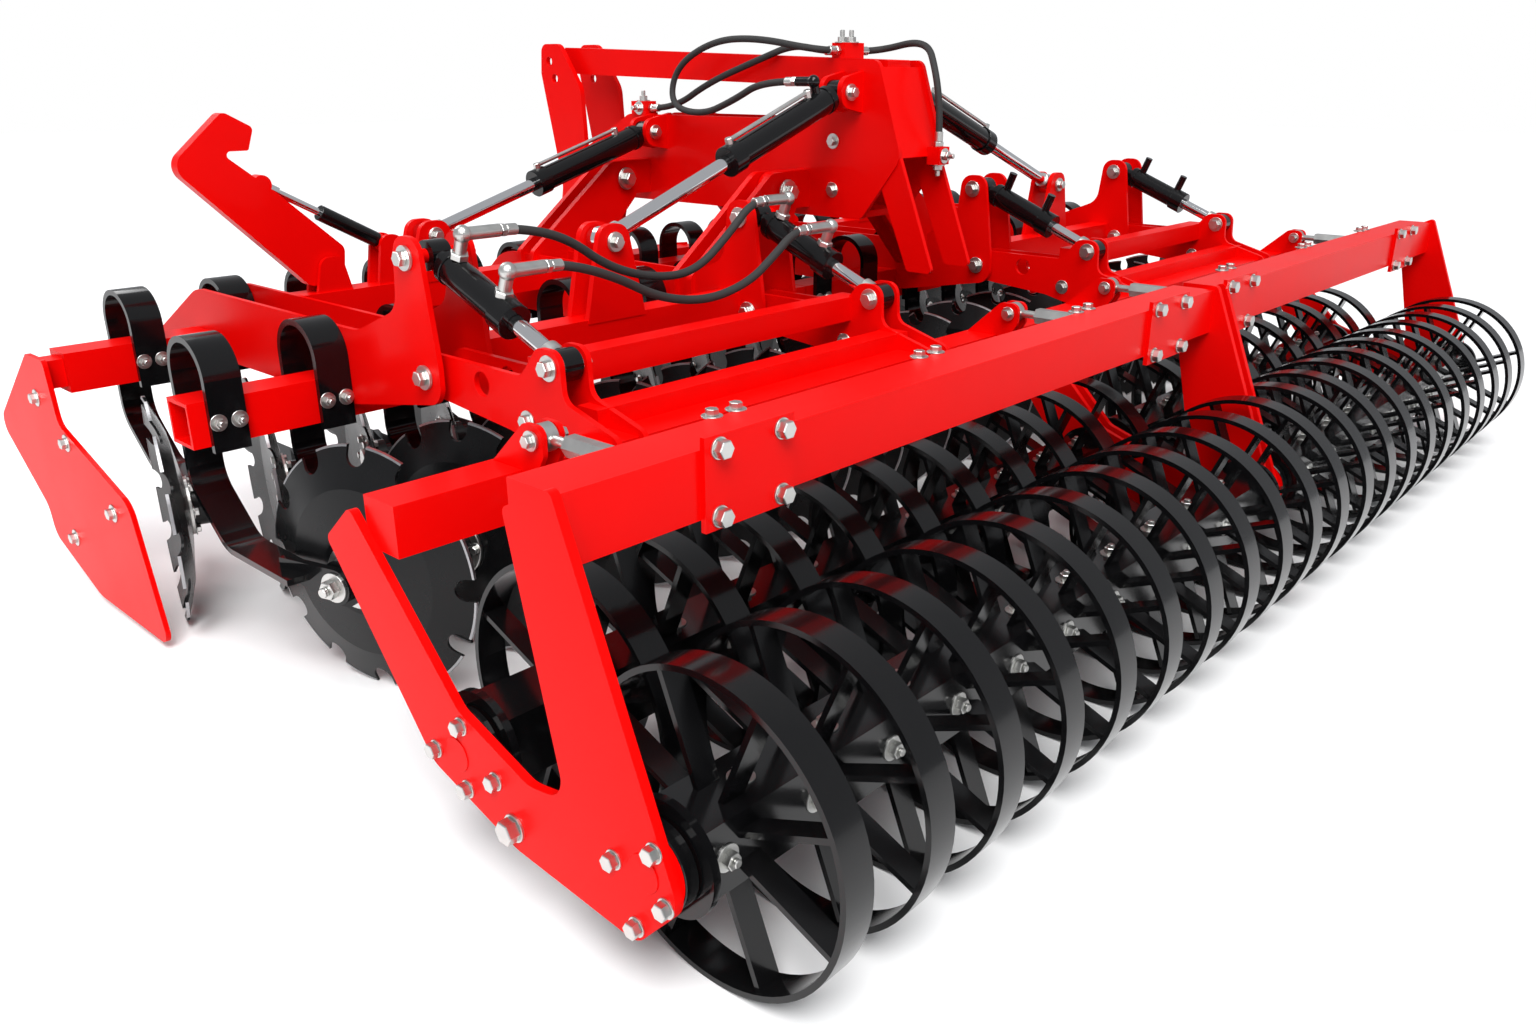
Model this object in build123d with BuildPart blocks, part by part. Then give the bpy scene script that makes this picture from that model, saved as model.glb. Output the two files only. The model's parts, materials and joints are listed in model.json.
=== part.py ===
"""Folding disc harrow: mast, two wings of notched discs on leaf springs, twin ring rollers.

Millimetres. X to the right of travel, Y forward, Z up, ground at Z = 0.
"""

import math
import os

from build123d import *

# Overall
hitch_nose = 2750.0  # lower hitch eyes, ahead of the rear roller axle
disc_pitch = 250.0
discs_per_row = 16
discs_per_wing = 8

# Ring rollers
ring_radius = 260.0
ring_width = 60.0
ring_wall = 10.0
ring_pitch = 192.0
first_ring_x = -1922.0
roller_spacing = 445.0
roller_tube = 120.0
roller_spokes = 8
spoke_thickness = 10.0
spoke_width = 44.0
roller_shaft_radius = 25.0
roller_end_play = 4.0
end_flange_radius = 92.0
end_flange_thickness = 14.0

# Roller end plates
end_plate_x = 2070.0  # outer face of the outer plates
end_plate_thickness = 16.0
split_x = 94.0  # the left rollers reach past the middle to here
split_gap = 30.0
bearing_radius = 66.0
bearing_depth = 24.0

# Discs
disc_radius = 280.0
disc_thickness = 6.0
dish_depth = 45.0
dish_flat_radius = 90.0
dish_knee_radius = 190.0
dish_knee_depth = 30.0
disc_yaw = 17.0
notch_count = 12
notch_radius = 25.0
notch_depth = 44.0
hub_radius = 52.0
hub_length = 45.0
hub_flange_radius = 72.0
hub_flange_thickness = 9.0
stub_radius = 15.0
rear_row = 1190.0  # disc centres ahead of the rear roller axle
front_row = 1905.0
rear_first_x = -1782.0
front_first_x = -1938.0

# Leaf spring arms
arm_side_offset = 140.0
spring_width = 80.0
spring_thickness = 14.0
spring_reach = 345.0  # beam centre ahead of its disc centres
spring_front_gap = 58.0  # strip's middle line ahead of the beam's front face
spring_rise = 122.0  # crown's middle line above the beam's top
spring_tail_z = 292.0
hub_plate_thickness = 16.0
hub_eye_radius = 40.0
hub_plate_height = 84.0
hub_plate_reach = 150.0
spring_tail_gap = 62.0  # strip's end ahead of the stub axle
hub_gap = 4.0

# Wing frames
beam_size = 100.0
beam_wall = 8.0
beam_z = 585.0
beam_outer_x = 2000.0
beam_inner_x = 4.0
outer_station = 1562.5
inner_station = 562.5
arch_gap = 125.0  # between the middles of a station's two plates
arch_thickness = 12.0
arch_top = 745.0
arch_bottom = 565.0
arch_nose = 2665.0  # front end of the outer stations' plates
arch_nose_z = 500.0
arch_toe = 110.0  # inner stations' plates ahead of the front beam
arch_toe_rise = 40.0
cross_tube = 80.0
cross_tube_z = 690.0

# Wing hinges
hinge_x = 250.0
hinge_z = 960.0
hinge_rear = 1400.0
hinge_front = 2120.0
hinge_pin_radius = 25.0
hinge_lug_thickness = 40.0
hinge_ear_thickness = 20.0
hinge_ear_radius = 55.0
hinge_side_gap = 3.0

# Fold cylinders
fold_rear = 1225.0
fold_front = 2050.0
mast_pin_x = 170.0
rear_mast_pin_z = 1238.0
front_mast_pin_z = 1107.0
rear_lug_x = 1066.0
rear_lug_z = 908.0
front_lug_x = 1036.0
front_lug_z = 850.0
fold_barrel_radius = 36.0
fold_barrel_length = 490.0
fold_bore_start = 58.0
fold_rod_radius = 19.0
fold_rod_overlap = 28.0
fold_eye_width = 44.0
fold_eye_radius = 34.0
fold_pin_radius = 15.0
fold_eye_hole = 17.0
lug_ear_thickness = 16.0
lug_ear_radius = 42.0
eye_side_gap = 4.0

# Depth cylinders and roller linkage
upright_pin = 1180.0
upright_pin_z = 930.0
arm_pivot = 1150.0
arm_pivot_z = 683.0
clevis = 763.0
clevis_z = 759.0
depth_barrel_radius = 34.0
depth_barrel_length = 285.0
depth_bore_start = 60.0
depth_rod_radius = 18.0
depth_rod_overlap = 70.0
depth_eye_width = 46.0
depth_eye_radius = 32.0
depth_pin_radius = 15.0
depth_eye_hole = 18.0
arm_pin_radius = 20.0
arm_gap = 66.0  # between the middles of an arm's two plates
arm_thickness = 12.0
front_tube = 630.0
front_tube_z = 600.0
front_tube_size = 90.0
rear_tube = 215.0
rear_tube_z = 712.0
rear_tube_size = 110.0
torsion_tube_size = 60.0
splice_outer_x = 1690.0
splice_inner_x = 215.0
splice_length = 200.0
splice_height = 150.0
splice_thickness = 10.0
arm_hole = 990.0
arm_hole_z = 690.0
arm_hole_radius = 26.0
upper_torsion = 850.0
upper_torsion_z = 728.0
lower_torsion = 700.0
lower_torsion_z = 655.0

# Hydraulic ports and hoses
port_near = 82.0  # along a depth barrel from its pin
port_far = 240.0
port_radius = 13.0
elbow_radius = 18.0
port_rise = 55.0
elbow_reach = 90.0
fold_port = 95.0
fold_port_rise = 30.0
fold_elbow_reach = 60.0
hose_radius = 10.0
hose_bend = 60.0
hose_lead = 50.0  # straight run out of a fitting
hose_end_gap = 0.5  # at the fold barrel's elbow, which turns away
manifold = 1330.0
manifold_z = 1352.0
manifold_size = (90.0, 50.0, 44.0)
front_block = 2130.0
front_block_z = 1180.0
front_block_size = (50.0, 70.0, 44.0)
tee = 1030.0
tee_x = 60.0
tee_z = 1062.0
tee_size = (50.0, 44.0, 50.0)

# Turnbuckles
turnbuckle_outer_x = 1780.0
turnbuckle_inner_x = 264.0
turnbuckle_eye = 548.0
turnbuckle_z = 706.0
turnbuckle_radius = 17.0
turnbuckle_rod_radius = 10.0
turnbuckle_eye_radius = 26.0
turnbuckle_ear_thickness = 10.0
turnbuckle_eye_width = 24.0
turnbuckle_side_gap = 2.0
turnbuckle_pin_radius = 10.0

# Side deflectors
deflector_x = 2048.0
deflector_thickness = 12.0
deflector_arm = 70.0
deflector_arm_grip = 150.0

# Transport lock
lock_pivot_x = 1357.0
lock_pivot_z = 792.0
lock_thickness = 36.0
lock_pin_radius = 14.0
lock_lug_x = 1511.0
lock_lug_z = 1020.0
lock_base_x = 1173.0
lock_base_z = 835.0
lock_barrel_radius = 20.0
lock_rod_radius = 9.0
lock_barrel_share = 0.55
lock_eye_width = 36.0
lock_eye_radius = 24.0
lock_ear_thickness = 12.0
lock_ear_radius = 30.0

# Mast
mast_half_width = 104.0
mast_plate = 14.0
top_beam_width = 110.0
tower_half_width = 90.0
tower_plate = 18.0
top_link_z = 1331.0
top_link = 2640.0
low_link_hole_z = 1272.0
low_link_hole = 2612.0
top_link_radius = 16.25
leg_x = 97.0
leg_foot_z = 745.0
lower_link_z = 560.0
lower_link = 2700.0
lower_link_radius = 18.5
lower_link_half_span = 482.5
hitch_ear_gap = 70.0
hitch_ear_thickness = 20.0
hitch_beam = 120.0
hitch_beam_ahead = 2590.0

# Fits
pin_play = 0.08

rear_axle_y = (ring_radius - hitch_nose) / 2


def ahead(distance):
    """World Y of a point the given distance ahead of the rear roller axle."""
    return rear_axle_y + distance


def side_name(side):
    return "left" if side < 0 else "right"


def save(piece, name):
    piece.part.label = name
    export_step(piece.part, f"parts/{name}.step")


def bar_x(x_start, x_end, y, z, depth, height, mode=Mode.ADD):
    """Straight bar along X with a rectangular section centred on (y, z)."""
    with BuildSketch(Plane.YZ.offset(x_start)) as section:
        with Locations((y, z)):
            Rectangle(depth, height)
    extrude(section.sketch, amount=x_end - x_start, mode=mode)


def rod(start, end, radius, mode=Mode.ADD):
    """Round bar between two points."""
    axis = Vector(*end) - Vector(*start)
    with Locations(Plane(origin=start, z_dir=axis)):
        Cylinder(radius, axis.length, align=(Align.CENTER, Align.CENTER, Align.MIN), mode=mode)


def plate(plane, points, thickness, radius, mode=Mode.ADD):
    """Flat plate centred on a plane, its corners rounded to the given radius or radii."""
    with BuildSketch(plane) as outline:
        with BuildLine():
            FilletPolyline(*points, radius=radius, close=True)
        make_face()
    extrude(outline.sketch, amount=thickness / 2, both=True, mode=mode)


def plane_x(x):
    """Upright lengthwise plane at x, with local axes Y and Z."""
    return Plane.YZ.offset(x)


def plane_y(y):
    """Upright crosswise plane at y, with local axes X and Z."""
    return Plane.XZ.offset(-y)


def row_y(distances_and_heights):
    """Outline points given as distances ahead of the rear axle and heights."""
    return [(ahead(distance), height) for distance, height in distances_and_heights]


def disc_axis(row):
    """Unit vector from a disc's hub to its hollow side, level."""
    yaw = math.radians(disc_yaw)
    across = 1 if row == "rear" else -1
    return Vector(across * math.cos(yaw), math.sin(yaw), 0)


def disc_centre(row, index):
    first_x = rear_first_x if row == "rear" else front_first_x
    distance = rear_row if row == "rear" else front_row
    return Vector(first_x + index * disc_pitch, ahead(distance), disc_radius)


def wing_indices(side):
    start = 0 if side < 0 else discs_per_wing
    return range(start, start + discs_per_wing)


rear_beam = rear_row + spring_reach
front_beam = front_row + spring_reach
hub_back = dish_depth + disc_thickness + hub_length

os.makedirs("parts", exist_ok=True)


# Discs with their turning hubs, hollow side up in their own frame
hub_bore = stub_radius + pin_play
disc_back = -dish_depth - disc_thickness
with BuildPart() as disc_shape:
    with BuildSketch(Plane.XZ) as disc_profile:
        with BuildLine():
            Polyline(
                (0, -dish_depth),
                (dish_flat_radius, -dish_depth),
                (dish_knee_radius, -dish_knee_depth),
                (disc_radius, 0),
                (disc_radius, -disc_thickness),
                (dish_knee_radius, -dish_knee_depth - disc_thickness),
                (dish_flat_radius, disc_back),
                (hub_flange_radius, disc_back),
                (hub_flange_radius, disc_back - hub_flange_thickness),
                (hub_radius, disc_back - hub_flange_thickness),
                (hub_radius, -hub_back),
                (hub_bore, -hub_back),
                (hub_bore, disc_back),
                (0, disc_back),
                close=True,
            )
        make_face()
    revolve(axis=Axis.Z)
    with BuildSketch() as notches:
        with PolarLocations(disc_radius - notch_depth + notch_radius, notch_count):
            Circle(notch_radius)
            Rectangle(notch_depth, 2 * notch_radius, align=(Align.MIN, Align.CENTER))
    extrude(amount=dish_depth, both=True, mode=Mode.SUBTRACT)

for row in ("rear", "front"):
    for index in range(discs_per_row):
        disc_place = Plane(disc_centre(row, index), x_dir=(0, 0, 1), z_dir=disc_axis(row))
        with BuildPart() as disc:
            with Locations(disc_place):
                add(disc_shape.part)
        save(disc, f"disc_{row}_{index + 1:02d}")


# Leaf spring arms: a strip over the beam, an end plate and the stub axle
def spring_arm(row, index):
    axis = disc_axis(row)
    centre = disc_centre(row, index)
    beam = rear_beam if row == "rear" else front_beam
    arm_x = centre.X - math.copysign(arm_side_offset, axis.X)
    half_beam = beam_size / 2
    clamp_y = ahead(beam) - half_beam - spring_thickness / 2
    front_y = ahead(beam) + half_beam + spring_front_gap
    crown_z = beam_z + half_beam + spring_rise
    plate_middle = centre - axis * (hub_back + hub_gap + hub_plate_thickness / 2)
    tail_y = plate_middle.Y + spring_tail_gap
    with BuildSketch(plane_x(arm_x)) as strip:
        with BuildLine() as path:
            FilletPolyline(
                (clamp_y, beam_z - half_beam - spring_thickness),
                (clamp_y, crown_z),
                (front_y, crown_z),
                (front_y, spring_tail_z + 120),
                (front_y - 140, spring_tail_z),
                (tail_y, spring_tail_z),
                radius=[80, 80, 90, 90],
            )
        trace(path.line, line_width=spring_thickness)
    extrude(strip.sketch, amount=spring_width / 2, both=True)
    onward = -math.copysign(1, axis.X)
    with BuildSketch(Plane(origin=plate_middle, z_dir=axis, x_dir=(0, 0, 1))) as hub_plate:
        Circle(hub_eye_radius)
        with BuildLine():
            Polyline(
                (-hub_eye_radius, 0),
                (hub_eye_radius, 0),
                (hub_plate_height / 2, onward * hub_plate_reach),
                (spring_tail_z - disc_radius - spring_thickness / 2, onward * hub_plate_reach),
                close=True,
            )
        make_face()
    extrude(hub_plate.sketch, amount=hub_plate_thickness / 2, both=True)
    stub_end = centre - axis * (dish_depth + disc_thickness + pin_play)
    rod(tuple(plate_middle), tuple(stub_end), stub_radius)


arm_shapes = {}
for row in ("rear", "front"):
    with BuildPart() as arm_shape:
        spring_arm(row, 0)
    arm_shapes[row] = arm_shape.part

for side in (-1, 1):
    with BuildPart() as springs:
        for row in ("rear", "front"):
            with Locations(*[(index * disc_pitch, 0, 0) for index in wing_indices(side)]):
                add(arm_shapes[row])
    save(springs, f"{side_name(side)}_spring_arms")


# Wing frames
def arch_plate(x, nose, nose_z):
    """Lengthwise plate over both beams, with the cylinder upright at its rear end."""
    outline = row_y([
        (nose, nose_z - 40),
        (nose, nose_z + 40),
        (front_beam + 10, arch_top),
        (upright_pin + 240, arch_top),
        (upright_pin + 62, arch_top + 70),
        (upright_pin + 44, upright_pin_z + 44),
        (upright_pin - 44, upright_pin_z + 44),
        (arm_pivot - 52, arm_pivot_z + 30),
        (arm_pivot - 52, arm_pivot_z - 52),
        (rear_beam - 60, arch_bottom),
        (front_beam + 60, arch_bottom),
    ])
    radii = [20, 40, 160, 160, 60, 40, 40, 60, 48, 40, 40]
    plate(plane_x(x), outline, arch_thickness, radii)


def fold_lug(side, lug_x, lug_z, lug_y):
    """Pair of ears that stands on a cross tube and takes a fold rod's eye."""
    base = cross_tube_z + cross_tube / 2 - 10
    spread = lug_ear_radius
    outline = [
        (side * (lug_x - 2.2 * spread), base),
        (side * (lug_x - spread), lug_z + spread),
        (side * (lug_x + spread), lug_z + spread),
        (side * (lug_x + 2.2 * spread), base),
    ]
    step = fold_eye_width / 2 + eye_side_gap + lug_ear_thickness / 2
    for offset in (-step, step):
        plate(plane_y(lug_y + offset), outline, lug_ear_thickness, [2, spread - 2, spread - 2, 2])


def hinge_ears(side, ear_y):
    """Two ears from the inner station's plates up to the wing hinge."""
    low = arch_top - 80
    inner_plate_x = inner_station - arch_gap / 2
    outer_plate_x = inner_station + arch_gap / 2
    reach = hinge_ear_radius
    outline = [
        (side * (hinge_x - reach), hinge_z - reach),
        (side * (hinge_x - reach), hinge_z + reach),
        (side * (hinge_x + reach), hinge_z + reach),
        (side * (outer_plate_x + 20), arch_top + 10),
        (side * (outer_plate_x + 20), low),
        (side * (inner_plate_x - 60), low),
    ]
    step = hinge_lug_thickness / 2 + hinge_side_gap + hinge_ear_thickness / 2
    radii = [reach - 2, reach - 2, reach - 2, 20, 20, 40]
    for offset in (-step, step):
        plate(plane_y(ear_y + offset), outline, hinge_ear_thickness, radii)
    bore = hinge_pin_radius + pin_play
    start = (side * hinge_x, ear_y - 2 * step, hinge_z)
    end = (side * hinge_x, ear_y + 2 * step, hinge_z)
    rod(start, end, bore, mode=Mode.SUBTRACT)


def deflector(side):
    """Side shield beside the front discs, on an arm out of the front beam."""
    outline = row_y([
        (2459, 526),
        (2660, 390),
        (2400, 200),
        (2385, 120),
        (2120, 20),
        (1700, 16),
        (1790, 350),
        (2170, 470),
        (2190, 628),
        (2310, 628),
    ])
    radii = [30, 40, 60, 50, 120, 30, 60, 40, 20, 20]
    plate(plane_x(side * deflector_x), outline, deflector_thickness, radii)
    arm_start = side * (beam_outer_x - deflector_arm_grip)
    bar_x(arm_start, side * deflector_x, ahead(front_beam), beam_z, deflector_arm, deflector_arm)
    cap_start = side * (beam_outer_x - deflector_thickness)
    bar_x(cap_start, side * beam_outer_x, ahead(front_beam), beam_z, beam_size, beam_size)


def lock_ears(side, x, z, radius, pin_radius):
    """Ears and pin on the front cross tube for the transport lock."""
    base = cross_tube_z + cross_tube / 2 - lock_ear_thickness
    outline = [
        (side * (x - 1.8 * radius), base),
        (side * (x - radius), z + radius),
        (side * (x + radius), z + radius),
        (side * (x + 1.8 * radius), base),
    ]
    step = lock_eye_width / 2 + eye_side_gap + lock_ear_thickness / 2
    y = ahead(fold_front)
    for offset in (-step, step):
        plate(plane_y(y + offset), outline, lock_ear_thickness, [2, radius - 2, radius - 2, 2])
    rod((side * x, y - step, z), (side * x, y + step, z), pin_radius)


for side in (-1, 1):
    with BuildPart() as wing:
        for beam in (rear_beam, front_beam):
            bar_x(side * beam_inner_x, side * beam_outer_x, ahead(beam), beam_z, beam_size, beam_size)
        for station in (outer_station, inner_station):
            outer = station == outer_station
            nose = arch_nose if outer else front_beam + arch_toe
            for offset in (-arch_gap / 2, arch_gap / 2):
                arch_plate(side * station + offset, nose, arch_nose_z if outer else beam_z + arch_toe_rise)
            half = arch_gap / 2
            x_pair = (side * station - half, side * station + half)
            for distance, height, radius in (
                (upright_pin, upright_pin_z, depth_pin_radius),
                (arm_pivot, arm_pivot_z, arm_pin_radius),
            ):
                rod((x_pair[0], ahead(distance), height), (x_pair[1], ahead(distance), height), radius)
        tube_ends = (side * (outer_station - arch_gap / 2), side * (inner_station + arch_gap / 2))
        for lug_distance in (fold_rear, fold_front):
            bar_x(*tube_ends, ahead(lug_distance), cross_tube_z, cross_tube, cross_tube)
        fold_lug(side, rear_lug_x, rear_lug_z, ahead(fold_rear))
        fold_lug(side, front_lug_x, front_lug_z, ahead(fold_front))
        for distance in (hinge_rear, hinge_front):
            hinge_ears(side, ahead(distance))
        bore = beam_size - 2 * beam_wall
        for beam in (rear_beam, front_beam):
            bar_x(
                side * (beam_inner_x - 1), side * (beam_outer_x + 1), ahead(beam), beam_z, bore, bore,
                mode=Mode.SUBTRACT,
            )
        deflector(side)
        if side < 0:
            lock_ears(side, lock_pivot_x, lock_pivot_z, lock_ear_radius, lock_pin_radius)
            lock_ears(side, lock_base_x, lock_base_z, lock_ear_radius, lock_pin_radius)
    save(wing, f"{side_name(side)}_wing_frame")


# Transport lock on the left wing: hook plate and its small cylinder
lock_y = ahead(fold_front)
with BuildPart() as lock:
    hook_outline = [
        (-lock_pivot_x + 40, lock_pivot_z - 30),
        (-lock_pivot_x - 60, lock_pivot_z - 45),
        (-1735, 1075),
        (-1588, 1200),
        (-1515, 1160),
        (-1535, 1105),
        (-1610, 1105),
        (-1480, 1000),
        (-lock_pivot_x + 50, lock_pivot_z + 50),
    ]
    plate(plane_y(lock_y), hook_outline, lock_thickness, [20, 30, 40, 20, 12, 8, 10, 60, 25])
    lug = Vector(-lock_lug_x, lock_y, lock_lug_z)
    base = Vector(-lock_base_x, lock_y, lock_base_z)
    pivot = Vector(-lock_pivot_x, lock_y, lock_pivot_z)
    half = Vector(0, lock_eye_width / 2, 0)
    barrel_end = base + (lug - base) * lock_barrel_share
    rod(tuple(lug - half), tuple(lug + half), lock_eye_radius)
    rod(tuple(base), tuple(barrel_end), lock_barrel_radius)
    rod(tuple(barrel_end), tuple(lug), lock_rod_radius)
    rod(tuple(base - half), tuple(base + half), lock_eye_radius)
    for place in (pivot, base):
        rod(tuple(place - 2 * half), tuple(place + 2 * half), lock_pin_radius + pin_play, mode=Mode.SUBTRACT)
save(lock, "transport_lock")


# Roller frames: linkage arms, torsion tubes, cross tubes and end plates
def linkage_arm(x):
    outline = row_y([
        (arm_pivot + 46, arm_pivot_z + 46),
        (arm_pivot + 46, arm_pivot_z - 46),
        (900, 610),
        (front_tube - 20, front_tube_z - front_tube_size / 2 - 14),
        (front_tube - front_tube_size / 2 - 16, front_tube_z - front_tube_size / 2 - 14),
        (front_tube - front_tube_size / 2 - 16, front_tube_z + 55),
        (clevis - 40, clevis_z - 60),
        (clevis - 34, clevis_z + 36),
        (clevis + 34, clevis_z + 36),
        (clevis + 90, clevis_z - 30),
    ])
    plate(plane_x(x), outline, arm_thickness, [44, 44, 60, 20, 10, 20, 30, 32, 32, 40])


def end_plate(x):
    """Plate with two legs that carries one end of both rollers."""
    outline = row_y([
        (-70, 230),
        (20, 130),
        (300, 150),
        (520, 215),
        (790, 545),
        (700, 620),
        (430, 345),
        (255, 285),
        (165, 300),
        (265, 728),
        (155, 782),
    ])
    plate(plane_x(x), outline, end_plate_thickness, [50, 40, 120, 60, 14, 14, 40, 60, 40, 14, 14])


def turnbuckle_ears(x):
    """Ears and pin on the front cross tube for a turnbuckle's eye."""
    reach = turnbuckle_eye_radius
    half_tube = front_tube_size / 2
    outline = row_y([
        (front_tube + half_tube, front_tube_z + half_tube - 4),
        (front_tube - half_tube + 4, front_tube_z - half_tube / 2),
        (turnbuckle_eye - reach, turnbuckle_z - reach),
        (turnbuckle_eye - reach, turnbuckle_z + reach),
        (turnbuckle_eye + reach, turnbuckle_z + reach),
    ])
    step = turnbuckle_eye_width / 2 + turnbuckle_side_gap + turnbuckle_ear_thickness / 2
    for offset in (-step, step):
        plate(plane_x(x + offset), outline, turnbuckle_ear_thickness, [4, 4, 20, 20, 20])
    y = ahead(turnbuckle_eye)
    rod((x - step, y, turnbuckle_z), (x + step, y, turnbuckle_z), turnbuckle_pin_radius)


def roller_span(side):
    """Inner faces of the two end plates that hold one side's rollers."""
    outer = side * (end_plate_x - end_plate_thickness)
    inner = split_x + side * split_gap / 2 + side * end_plate_thickness
    return outer, inner


for side in (-1, 1):
    outer_face, inner_face = roller_span(side)
    with BuildPart() as carrier:
        for station in (outer_station, inner_station):
            for offset in (-arm_gap / 2, arm_gap / 2):
                linkage_arm(side * station + offset)
        stations = (side * outer_station, side * inner_station)
        bar_x(*stations, ahead(upper_torsion), upper_torsion_z, torsion_tube_size, torsion_tube_size)
        bar_x(*stations, ahead(lower_torsion), lower_torsion_z, torsion_tube_size, torsion_tube_size)
        bar_x(outer_face, inner_face, ahead(front_tube), front_tube_z, front_tube_size, front_tube_size)
        bar_x(outer_face, inner_face, ahead(rear_tube), rear_tube_z, rear_tube_size, rear_tube_size)
        for face, outward in ((outer_face, side), (inner_face, -side)):
            end_plate(face + outward * end_plate_thickness / 2)
            for axle in (0, roller_spacing):
                bearing_x = face - outward * bearing_depth
                rod((face, ahead(axle), ring_radius), (bearing_x, ahead(axle), ring_radius), bearing_radius)
        for station in (outer_station, inner_station):
            for offset in (-arm_gap, arm_gap):
                x = side * station + offset
                for distance, height, radius in (
                    (arm_pivot, arm_pivot_z, arm_pin_radius + pin_play),
                    (arm_hole, arm_hole_z, arm_hole_radius),
                ):
                    start = (x, ahead(distance), height)
                    end = (side * station, ahead(distance), height)
                    rod(start, end, radius, mode=Mode.SUBTRACT)
        for station in (turnbuckle_outer_x, turnbuckle_inner_x):
            turnbuckle_ears(side * station)
        splice_y = ahead(rear_tube) - (rear_tube_size + splice_thickness) / 2
        for splice_x in (splice_outer_x, splice_inner_x):
            ends = (side * splice_x - splice_length / 2, side * splice_x + splice_length / 2)
            bar_x(*ends, splice_y, rear_tube_z, splice_thickness, splice_height)
        for axle in (0, roller_spacing):
            rod(
                (outer_face + side * 2 * end_plate_thickness, ahead(axle), ring_radius),
                (inner_face - side * 2 * end_plate_thickness, ahead(axle), ring_radius),
                roller_shaft_radius + pin_play,
                mode=Mode.SUBTRACT,
            )
    save(carrier, f"{side_name(side)}_roller_frame")


# Turnbuckles between the front and rear cross tubes
for side in (-1, 1):
    with BuildPart() as turnbuckles:
        start_y = ahead(turnbuckle_eye)
        end_y = ahead(rear_tube) + rear_tube_size / 2
        for station in (turnbuckle_outer_x, turnbuckle_inner_x):
            x = side * station
            rod((x, start_y, turnbuckle_z), (x, end_y, turnbuckle_z), turnbuckle_rod_radius)
            rod((x, start_y - 70, turnbuckle_z), (x, end_y + 40, turnbuckle_z), turnbuckle_radius)
            half = turnbuckle_eye_width / 2
            rod((x - half, start_y, turnbuckle_z), (x + half, start_y, turnbuckle_z), turnbuckle_eye_radius)
            rod((x - half, start_y, turnbuckle_z), (x + half, start_y, turnbuckle_z),
                turnbuckle_pin_radius + pin_play, mode=Mode.SUBTRACT)
    save(turnbuckles, f"{side_name(side)}_turnbuckles")


# Ring rollers
def ring_places(side, row):
    """X of each ring of one roller."""
    outer_face, inner_face = roller_span(side)
    low, high = sorted((outer_face, inner_face))
    shift = 0 if row == "rear" else ring_pitch / 2
    count = int(2 * end_plate_x / ring_pitch) + 1
    places = [first_ring_x + shift + index * ring_pitch for index in range(count)]
    margin = bearing_depth + roller_end_play + ring_width / 2
    return [x for x in places if low + margin < x < high - margin]


with BuildPart() as ring_shape:
    with BuildSketch(Plane.YZ):
        Circle(ring_radius)
        Circle(ring_radius - ring_wall, mode=Mode.SUBTRACT)
    extrude(amount=ring_width / 2, both=True)
    with BuildSketch(Plane.YZ):
        with PolarLocations(0, roller_spokes, start_angle=180 / roller_spokes):
            Rectangle(ring_radius - ring_wall / 2, spoke_thickness, align=(Align.MIN, Align.CENTER))
    extrude(amount=spoke_width / 2, both=True)

for side in (-1, 1):
    outer_face, inner_face = roller_span(side)
    for row, axle in (("rear", 0), ("front", roller_spacing)):
        with BuildPart() as roller:
            y = ahead(axle)
            tube_start = outer_face - side * (bearing_depth + roller_end_play)
            tube_end = inner_face + side * (bearing_depth + roller_end_play)
            bar_x(tube_start, tube_end, y, ring_radius, roller_tube, roller_tube)
            for start, inward in ((tube_start, -side), (tube_end, side)):
                flange_end = start + inward * end_flange_thickness
                rod((start, y, ring_radius), (flange_end, y, ring_radius), end_flange_radius)
            shaft_start = outer_face + side * end_plate_thickness
            shaft_end = inner_face - side * end_plate_thickness
            rod((shaft_start, y, ring_radius), (shaft_end, y, ring_radius), roller_shaft_radius)
            with Locations(*[(x, y, ring_radius) for x in ring_places(side, row)]):
                add(ring_shape.part)
        save(roller, f"{side_name(side)}_{row}_roller")


# Hydraulic cylinders, each lying from its base pin to its rod's eye
def cylinder_axis(base, eye):
    return (Vector(*eye) - Vector(*base)).normalized()


def barrel(base, eye, pin_axis, radius, length, bore_start, bore, eye_radius, eye_width, pin_radius):
    axis = cylinder_axis(base, eye)
    origin = Vector(*base)
    half = Vector(*pin_axis) * eye_width / 2
    rod(tuple(origin + axis * (bore_start - 12)), tuple(origin + axis * length), radius)
    rod(tuple(origin - half), tuple(origin + half), eye_radius)
    rod(tuple(origin), tuple(origin + axis * bore_start), eye_width / 2 - 2)
    rod(tuple(origin + axis * bore_start), tuple(origin + axis * (length + 1)), bore, mode=Mode.SUBTRACT)
    rod(tuple(origin - 2 * half), tuple(origin + 2 * half), pin_radius + pin_play, mode=Mode.SUBTRACT)


def piston_rod(base, eye, pin_axis, radius, barrel_length, overlap, eye_radius, eye_width, hole):
    axis = cylinder_axis(base, eye)
    end = Vector(*eye)
    start = Vector(*base) + axis * (barrel_length - overlap)
    half = Vector(*pin_axis) * eye_width / 2
    rod(tuple(start), tuple(end), radius)
    rod(tuple(end - half), tuple(end + half), eye_radius)
    rod(tuple(end - 2 * half), tuple(end + 2 * half), hole, mode=Mode.SUBTRACT)


def fold_ends(side, place):
    """Base pin and eye of one fold cylinder."""
    distance = fold_rear if place == "rear" else fold_front
    pin_z = rear_mast_pin_z if place == "rear" else front_mast_pin_z
    lug_x = rear_lug_x if place == "rear" else front_lug_x
    lug_z = rear_lug_z if place == "rear" else front_lug_z
    y = ahead(distance)
    return (side * mast_pin_x, y, pin_z), (side * lug_x, y, lug_z)


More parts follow.
